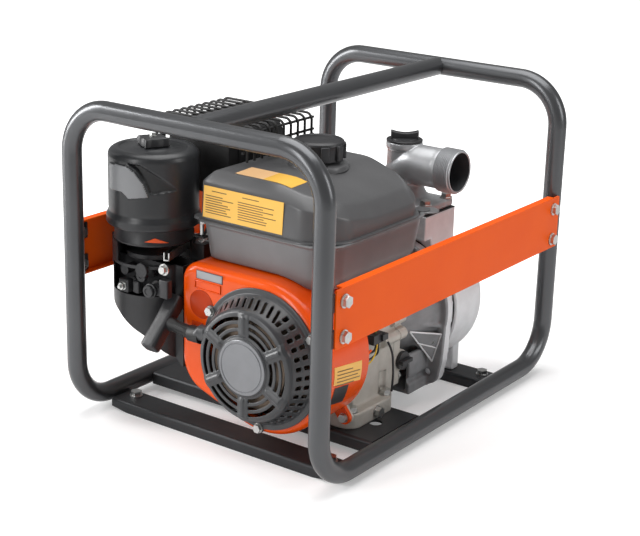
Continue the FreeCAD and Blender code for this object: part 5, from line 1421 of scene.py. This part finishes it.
@dataclass
class RecoilCover:
    """Vented starter cover with ridged spokes and a plain badge plate."""

    x: float = 68.0
    z: float = 131.0
    face_y: float = -256.0
    badge_radius: float = 35.0
    ridge: float = 2.0
    ridge_half_width: float = 9.0
    first_spoke: float = 90.0
    spoke_step: float = 60.0
    spoke_inner: float = 38.0
    spoke_outer: float = 82.0
    guide_x: float = -14.0
    guide_y: float = -229.0
    guide_drop: float = 4.2
    top_slots: tuple[float, ...] = (62.5, 70.0, 77.5, 85.0, 92.5)
    slot_lean: float = 22.0

    def build(self, nodes: dict[str, bpy.types.Object]) -> None:
        """Build the soft cover and its badge plate.

        Args:
            nodes: the CAD nodes by name.
        """
        drop_down(self._cover(nodes["recoil_cover"]), "cover_plastic", "recoil_cover")
        drop_down(self._badge(), "cover_plastic")

    def _cover(self, source: bpy.types.Object) -> bpy.types.Object:
        """The cover with rounded slots and ridges along its spokes.

        Args:
            source: the CAD node.

        Returns:
            The piece.
        """
        def ridged(p: Vector) -> Vector:
            """Lift the face along the middle of each spoke, and lower the rope guide.

            Args:
                p: a point in millimetres.

            Returns:
                Where it goes.
            """
            dx, dz = p.x - self.x, p.z - self.z
            reach = math.hypot(dx, dz)
            if p.x < self.guide_x and p.y < self.guide_y:
                drop = self.guide_drop * min((self.guide_x - p.x) / 5.0, 1.0)
                return Vector((p.x, p.y, p.z - drop))
            if p.y > self.face_y + 6 or not self.spoke_inner < reach < self.spoke_outer:
                return p
            turn = math.degrees(math.atan2(dz, dx)) - self.first_spoke
            half_step = self.spoke_step / 2
            away = math.radians((turn + half_step) % self.spoke_step - half_step) * reach
            blend = max(0.0, 1 - (away / self.ridge_half_width) ** 2)
            ends = min(1.0, (reach - self.spoke_inner) / 5, (self.spoke_outer - reach) / 10)
            return Vector((p.x, p.y - self.ridge * blend * ends, p.z))

        slotted = self._slotted(source)
        cover = cast_copy("recoil_cover_moulded", slotted, COVER_PLASTIC, 0.85, 4, ridged, 190000)
        bpy.data.objects.remove(slotted)
        return cover

    def _slotted(self, source: bpy.types.Object) -> bpy.types.Object:
        """A copy of the cover with the slanted slots carried on over its top.

        Args:
            source: the CAD node.

        Returns:
            The cut copy.
        """
        copy = new_object("recoil_slotted", source.data.copy())
        lean = swung(Vector((self.x + 70, -238.0, self.z)), self.slot_lean, "X")
        cutters = []
        for angle in self.top_slots:
            slot = block("slot", (self.x + 60, -247, self.z - 1.5), (self.x + 96, -229, self.z + 1.5),
                         DARK_HOLLOW, 0.0)
            slot.data.transform(swung(Vector((self.x, 0, self.z)), -angle, "Y") @ lean)
            cutters.append(slot)
        cut_away(copy, joined("slots", cutters), 60)
        return copy

    def _badge(self) -> bpy.types.Object:
        """The plain round badge plate in its groove.

        Returns:
            The piece.
        """
        r = self.badge_radius
        profile = [(0, 0), (r - 0.6, 0), (r, 0.4), (r, 1.6), (r - 0.7, 2.2), (r - 3.2, 2.3), (r - 3.8, 1.5),
                   (r - 4.8, 1.5), (r - 5.4, 2.3), (0, 2.3)]
        return turned("badge_plate", profile, (self.x, self.face_y - 1.2, self.z), FRONT, BADGE_GREY, 96)


@dataclass
class ShroudTrim:
    """Relief, bare plate and bare labels of the fan housing."""

    x: float = 68.0
    z: float = 131.0
    face_y: float = -221.0
    radius: float = 99.0
    row_y: float = -200.0
    row_z: float = 132.5
    row_pitch: float = 4.6
    row_height: float = 1.3
    row_fall: float = 0.14

    def build(self) -> None:
        """Build the trim pieces."""
        drop_all(self._relief(), "orange_paint")
        drop_all(self._plates(), "cover_plastic")

    def _relief(self) -> list[bpy.types.Object]:
        """A rectangular rib frame and a round boss, with a small pad under it.

        Returns:
            The frame, the boss and the pad.
        """
        y = self.face_y
        frame = [block("rib", (x0, y - 1.5, z0), (x1, y + 0.5, z1), ORANGE_PAINT, 0.6)
                 for x0, z0, x1, z1 in ((-36, 199.4, 1, 200.8), (-36, 209.6, 4, 211),
                                        (-37.4, 199.4, -36, 211), (2.6, 199.4, 4, 211))]
        boss = turned("round_boss", [(0, 0), (18.5, 0), (18.5, 0.7), (17.6, 1.2), (0, 1.25)],
                      (-27, y + 0.3, 180), FRONT, ORANGE_DEEP, 64)
        pad = block("low_pad", (-42, y - 0.8, 143), (-24, y + 0.5, 156), ORANGE_DEEP, 0.7)
        return [joined("shroud_rib_frame", frame), boss, pad]

    def wall(self, y: float, z: float) -> Point:
        """A point just off the round side of the housing."""
        reach = math.sqrt(max((self.radius + 0.45) ** 2 - (z - self.z) ** 2, 0))
        return self.x + reach, y, z

    def _plates(self) -> list[bpy.types.Object]:
        """The bare name strip on the front and two bare labels on the side.

        Returns:
            The plates and labels.
        """
        y = self.face_y
        strip = block("name_strip", (-34, y - 0.8, 213.6), (6, y + 0.3, 223.2), LABEL_WHITE, 0.5)
        edge = block("name_strip_edge", (-35, y - 0.5, 212.8), (7, y + 0.3, 224), COVER_PLASTIC, 0.4)
        amber = draped("side_label", ((-206, 117), (-147, 106), (-149, 133), (-206, 140)), self.wall,
                       LABEL_AMBER, (-0.6, 0, 0))
        dark = draped("side_label_dark", ((-202, 88), (-170, 82), (-172, 108), (-202, 112)), self.wall,
                      BLACK_PLASTIC, (-0.6, 0, 0))
        rows = []
        for k, end in enumerate((-168, -152, -156, -150, -162)):
            low = self.row_z - self.row_pitch * k
            far = low - (end - self.row_y) * self.row_fall
            corners = ((self.row_y, low), (end, far), (end, far + self.row_height),
                       (self.row_y, low + self.row_height))
            rows.append(draped(f"side_label_row_{k}", corners, self.above_wall, LABEL_INK, (-0.3, 0, 0),
                               (12, 2)))
        return [edge, strip, amber, dark, joined("side_label_rows", rows)]

    def above_wall(self, y: float, z: float) -> Point:
        """A point just off the label on the round side."""
        x, y, z = self.wall(y, z)
        return x + 0.25, y, z


# ---------------------------------------------------------------- pump end
@dataclass
class PumpEnd:
    """Cast pump casing, bracket, threaded discharge elbow and priming cap."""

    elbow: Point = (60.0, 94.0, 318.0)
    flange_z: float = 258.0
    outlet_x: float = 148.0
    pipe: float = 27.0
    spigot: float = 27.3
    bend: float = 26.0
    bore: float = 25.8
    crest: float = 29.8
    root: float = 27.5
    pitch: float = 2.6
    turns: int = 9
    thread_length: float = 27.0
    port_top: float = 346.6
    lit_flange_y: float = 66.0

    def build(self, nodes: dict[str, bpy.types.Object]) -> None:
        """Build the castings in place of their CAD nodes.

        Args:
            nodes: the CAD nodes by name.
        """
        drop_down(self._elbow(), "pump_casting", "discharge_elbow")
        drop_down(self._thread(), "pump_casting")
        casing = cast_copy("pump_casing_cast", nodes["pump_casing"], PUMP_ALLOY_AND_PAINTED_LIGHT, 1.7, 3)
        drop_down(casing, "pump_casting", "pump_casing")
        bracket = cast_copy("pump_bracket_cast", nodes["pump_bracket"], BRACKET_CASTING, 1.6, 3)
        # The bracket's rear flange is painted in the lighter alloy colour: painted light from the right on
        # the darker bracket casting.
        paint(bracket, PUMP_ALLOY_AND_PAINTED_LIGHT, lambda p: p.y > self.lit_flange_y)
        drop_down(bracket, "pump_casting", "pump_bracket")
        drop_all(self._ribs(), "pump_casting")
        drop_down(self._priming_cap(), "black_plastic", "priming_cap", body=Body.PRIMER_CAP)

    def _sweep(self) -> bpy.types.Object:
        """The bent pipe from the flange to the outlet.

        Returns:
            The pipe.
        """
        x, y, z = self.elbow
        cx, cz = x + self.bend, z - self.bend
        stations = [((x, self.flange_z + 2), (0.0, 1.0), self.pipe + 1.5),
                    ((x, cz - 6), (0.0, 1.0), self.pipe)]
        for k in range(13):
            turn = math.pi - k / 12 * math.pi / 2
            stations.append((polar(cx, cz, self.bend, turn), (math.sin(turn), -math.cos(turn)), self.pipe))
        stations += [((self.outlet_x - back, z), (1.0, 0.0), radius)
                     for back, radius in ((32, self.pipe), (29.5, self.spigot), (1, self.spigot))]
        rings = [around(64, lambda turn: (cx - tz * (radius * math.cos(turn)), y + radius * math.sin(turn),
                                          cz + tx * (radius * math.cos(turn))))
                 for (cx, cz), (tx, tz), radius in stations]
        return skinned("elbow_sweep", rings, ELBOW_CASTING, 60)

    def _elbow(self) -> bpy.types.Object:
        """Pipe, flared foot, flange and priming port, cast as one and bored.

        Returns:
            The piece.
        """
        x, y, z = self.elbow
        foot = turned("elbow_foot", [(0, 0), (46, 0), (46, 11), (40, 12.5), (34, 17), (30, 24), (27, 34),
                                     (0, 34)], (x, y, self.flange_z), UP, ELBOW_CASTING, 64)
        flange = block("elbow_flange", (4.5, 64.5, self.flange_z), (115.5, 136.5, self.flange_z + 12),
                       ELBOW_CASTING, 3.5)
        port = turned("elbow_port", [(0, 0), (22.5, 0), (22.5, 42), (24.4, 43), (24.4, 50.8), (23.6, 51.6),
                                     (0, 51.6)], (x, y, 295), UP, ELBOW_CASTING, 64)
        cast = joined("elbow_raw", [self._sweep(), foot, flange, port])
        rounded_off(cast, 1.15, 4)
        drill = turned("elbow_drill", [(0, 0), (self.bore, 0), (self.bore, 80), (0, 80)],
                       (x + 16, y, z), RIGHT, DARK_HOLLOW, 64)
        well = turned("port_drill", [(0, 0), (17.1, 0), (17.1, 60), (0, 60)], (x, y, 306), UP, DARK_HOLLOW,
                      48)
        for tool in (drill, well):
            cut_away(cast, tool, 45)
        one_finish(cast, ELBOW_CASTING)
        # The bore's inner wall is painted dark grey: painted shade inside the pipe.
        paint(cast, BORE_SHADE, lambda p: p.x > x + 15 and math.hypot(p.y - y, p.z - z) < self.bore + 0.1)
        cast.name = "discharge_elbow_cast"
        return cast

    def _thread(self) -> bpy.types.Object:
        """The pipe thread on the outlet, with its plain end ring.

        Returns:
            The sleeve.
        """
        _, y, z = self.elbow
        length = self.thread_length
        inner = self.bore - 0.3
        profile = [(inner, 0), (self.root, 0)]
        for k in range(self.turns):
            profile += [(radius, 1.2 + (k + part) * self.pitch)
                        for radius, part in ((self.root, 0.12), (self.crest, 0.5), (self.crest, 0.62),
                                             (self.root, 0.98))]
        profile += [(self.root + 0.5, length - 1.4), (self.root + 0.2, length - 0.2),
                    (self.root - 0.6, length), (inner + 0.9, length), (inner, length - 0.9)]
        sleeve = turned("outlet_thread", profile, (self.outlet_x - length, y, z), RIGHT, ELBOW_CASTING,
                        96, 30, hollow=True)
        # The sleeve's inner wall is painted dark grey: painted shade inside the pipe.
        paint(sleeve, BORE_SHADE, lambda p: math.hypot(p.y - y, p.z - z) < inner + 0.3)
        return sleeve

    @staticmethod
    def _ribs() -> list[bpy.types.Object]:
        """The bracket's thin web and the ribs round it.

        Returns:
            The web and the ribs.
        """
        corners = ((127.5, 21.0, 111.0), (151.5, 62.5, 102.0), (139.0, 62.5, 60.0))
        points = [*corners, *((x - 3.0, y + 0.5, z) for x, y, z in corners)]
        faces = [[0, 1, 2], [5, 4, 3], [1, 0, 3, 4], [2, 1, 4, 5], [0, 2, 5, 3]]
        web = mesh_piece("bracket_web", points, faces, BRACKET_CASTING, 30)
        # The ribs are painted in the lighter alloy colour: painted highlights along their edges against the
        # darker web.
        ribs = [tube(f"bracket_rib_{k}", [corners[a], corners[b]], 1.25, PUMP_ALLOY_AND_PAINTED_LIGHT)
                for k, (a, b) in enumerate(((0, 1), (1, 2), (0, 2)))]
        ribs.append(tube("bracket_rib_3", [(131.5, 35.0, 92.0), (145.0, 62.0, 81.0)], 1.0, PUMP_ALLOY_AND_PAINTED_LIGHT))
        return [web, joined("bracket_ribs", ribs)]

    def _priming_cap(self) -> bpy.types.Object:
        """The priming plug's thin flange and its dipped wing.

        Returns:
            The piece.
        """
        x, y, _ = self.elbow
        profile = [(0, -10), (16.8, -10), (16.8, 0.1), (23.8, 0.1), (24.4, 0.6), (24.4, 2.2), (23.8, 2.8),
                   (17.8, 3.1), (17.2, 4.2), (0, 4.2)]
        flange = turned("priming_cap_flange", profile, (x, y, self.port_top), UP, BLACK_PLASTIC, 72)
        along = Vector((0.81, 0.58, 0.0))
        across = Vector((-0.58, 0.81, 0.0))
        rings = []
        for step in (-1.0, -0.97, -0.85, -0.55, -0.25, 0.0, 0.25, 0.55, 0.85, 0.97, 1.0):
            top = 14.4 - 3.2 * (1 - step * step) - (0.8 if abs(step) == 1.0 else 0.0)
            half = 5.2 if abs(step) < 0.99 else 4.2
            middle = Vector((x, y, self.port_top)) + along * (step * 18.6)
            rings.append([middle + across * side + Vector((0, 0, height))
                          for side, height in ((-half, 3.0), (half, 3.0), (half, top - 1.0),
                                               (half - 1.0, top), (1.0 - half, top), (-half, top - 1.0))])
        wing = skinned("priming_cap_wing", rings, BLACK_PLASTIC, 30)
        return joined("priming_cap_winged", [flange, wing])


# ---------------------------------------------------------------- engine
@dataclass
class EngineBlock:
    """Cast crankcase and cover, and the leads on the right side."""

    def build(self, nodes: dict[str, bpy.types.Object]) -> None:
        """Build the cast block and its wires.

        Args:
            nodes: the CAD nodes by name.
        """
        for name, voxel, rounds, most in (("crankcase", 1.5, 2, 180000),
                                          ("crankcase_cover", 1.4, 3, 150000)):
            cast = cast_copy(name + "_cast", nodes[name], ENGINE_CASTING, voxel, rounds, None, most)
            drop_down(cast, "engine_casting", name)
        drop_all(self._wires(), "black_plastic")

    @staticmethod
    def _wires() -> list[bpy.types.Object]:
        """Coloured leads, a breather pipe and a sleeve.

        Returns:
            The pieces.
        """
        return [tube("lead_yellow", [(146, -84, 130), (148, -88, 120), (146, -98, 108), (140, -112, 102),
                                     (134, -126, 104)], 1.0, WIRE_YELLOW),
                tube("lead_green", [(140, -80, 141), (142, -78, 150), (138, -84, 160),
                                    (134, -96, 168)], 1.0, WIRE_GREEN),
                tube("breather_pipe", [(141, -52, 122), (147, -50, 112), (148, -48, 92), (147, -45, 70),
                                       (144, -43, 52)], 1.5, BLACK_PLASTIC),
                tube("sleeve_orange", [(150, -104, 128), (152, -116, 124), (150, -130, 126)], 1.6,
                     ORANGE_PAINT)]


@dataclass
class FrameTrim:
    """Weld beads where the carry bar meets the hoops."""

    bar_z: float = 416.0
    bar_end: float = 268.6

    def build(self) -> None:
        """Build the weld beads."""
        for tag, side in (("front", -1), ("rear", 1)):
            bead = grown("carry_bar_weld_" + tag, screw_turns(), FRAME_PAINT,
                         aimed((0, side * self.bar_end - 0.6, self.bar_z), REAR), Turns=1.02,
                         Radius=11.0 * MM, Height=0.6 * MM, Wire=1.4 * MM)
            drop_down(bead, "frame_paint")


# ---------------------------------------------------------------- studio
@dataclass
class Studio:
    """Camera, soft lamps, a pale floor and a white surround."""

    azimuth: float = 35.64
    elevation: float = 18.08
    roll: float = 1.53
    lens: float = 85.43
    camera_place: Point = (1.12643, -1.57931, 0.81138)
    world_light: float = 0.27
    floor_size: float = 14.0
    floor_grey: float = 0.86
    shadow_near: float = 0.35
    shadow_far: float = 0.95
    near_lift: float = 0.22

    def build(self) -> None:
        """Make the camera, lamps and floor."""
        self._camera()
        self._world()
        self._floor()
        for name, place, target_z, size, power in (("sky_box", (0.0, 0.1, 1.9), 0.2, (1.7, 1.7), 33),
                                                   ("left_box", (-1.9, -1.1, 1.0), 0.25, (0.5, 1.8), 46),
                                                   ("right_box", (2.1, 0.5, 1.1), 0.25, (0.7, 1.4), 13),
                                                   ("front_box", (-0.45, -2.6, 1.1), 0.2, (0.45, 1.6), 22)):
            self._lamp(name, place, (0, 0, target_z), size, power)

    def _camera(self) -> None:
        """Put the camera at its place and angle."""
        data = bpy.data.cameras.new("camera")
        data.lens = self.lens
        data.sensor_width = 36.0
        camera = bpy.data.objects.new("camera", data)
        az, el, roll = (math.radians(a) for a in (self.azimuth, self.elevation, self.roll))
        back = Vector((math.sin(az) * math.cos(el), -math.cos(az) * math.cos(el), math.sin(el)))
        right = Vector((math.cos(az), math.sin(az), 0.0))
        up = back.cross(right)
        turned_right = right * math.cos(roll) + up * math.sin(roll)
        turned_up = up * math.cos(roll) - right * math.sin(roll)
        frame = Matrix((turned_right, turned_up, back)).transposed().to_4x4()
        camera.matrix_world = Matrix.Translation(self.camera_place) @ frame
        bpy.context.scene.collection.objects.link(camera)
        bpy.context.scene.camera = camera

    @staticmethod
    def _lamp(name: str, place: Point, target: Point, size: Flat, power: float) -> None:
        """Add a rectangular soft lamp that faces the target.

        Args:
            name: the lamp's name.
            place: where it stands, in metres.
            target: where it points.
            size: its width and height.
            power: its power in watts.
        """
        data = bpy.data.lights.new(name, "AREA")
        data.shape = "RECTANGLE"
        data.size, data.size_y = size
        data.energy = power
        lamp = bpy.data.objects.new(name, data)
        lamp.location = place
        aim = Vector(target) - Vector(place)
        lamp.rotation_euler = aim.to_track_quat("-Z", "Y").to_euler()
        bpy.context.scene.collection.objects.link(lamp)

    def _world(self) -> None:
        """White to the camera, a dimmer grey as light and in reflections."""
        world = bpy.data.worlds.new("surround")
        world.use_nodes = True
        tree = world.node_tree
        path = tree.nodes.new("ShaderNodeLightPath")
        seen = combined(tree, "MAXIMUM", path.outputs["Is Camera Ray"], path.outputs["Is Transmission Ray"])
        level = plug(tree, tree.nodes.new("ShaderNodeMapRange"), Value=seen, To_Min=self.world_light,
                     To_Max=1.0)
        plug(tree, tree.nodes["Background"], Color=(1, 1, 1, 1), Strength=level.outputs["Result"])
        bpy.context.scene.world = world
        bpy.context.scene.view_settings.view_transform = "Standard"

    def _floor(self) -> None:
        """A pale floor that keeps the soft shadow near the machine and fades to white."""
        bpy.ops.mesh.primitive_plane_add(size=self.floor_size)
        floor = bpy.context.object
        floor.name = "floor"
        made = bpy.data.materials.new("floor_white")
        made.use_nodes = True
        tree = made.node_tree
        path = tree.nodes.new("ShaderNodeLightPath")
        place = tree.nodes.new("ShaderNodeTexCoord")
        reach = tree.nodes.new("ShaderNodeVectorMath")
        reach.operation = "LENGTH"
        tree.links.new(place.outputs["Object"], reach.inputs[0])
        fade = plug(tree, tree.nodes.new("ShaderNodeMapRange"), Value=reach.outputs["Value"],
                    From_Min=self.shadow_near, From_Max=self.shadow_far, To_Min=self.near_lift, To_Max=1.0)
        lift = combined(tree, "MULTIPLY", path.outputs["Is Camera Ray"], fade.outputs["Result"])
        plug(tree, tree.nodes["Principled BSDF"], Roughness=0.6, Specular_IOR_Level=0.1,
             Base_Color=(self.floor_grey, self.floor_grey, self.floor_grey, 1),
             Emission_Color=(1, 1, 1, 1), Emission_Strength=lift)
        floor.data.materials.append(made)


def main() -> None:
    """Build the studio, dress the frame and add the visual pieces."""
    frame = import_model()
    nodes = frame["nodes"]
    Studio().build()
    dress_cad_nodes(nodes)
    FuelTank().build(nodes)
    AirCleaner().build(nodes)
    Controls().build()
    StarterGrip().build()
    RecoilCover().build(nodes)
    ShroudTrim().build()
    PumpEnd().build(nodes)
    EngineBlock().build(nodes)
    FrameTrim().build()


if __name__ == "__main__":
    main()
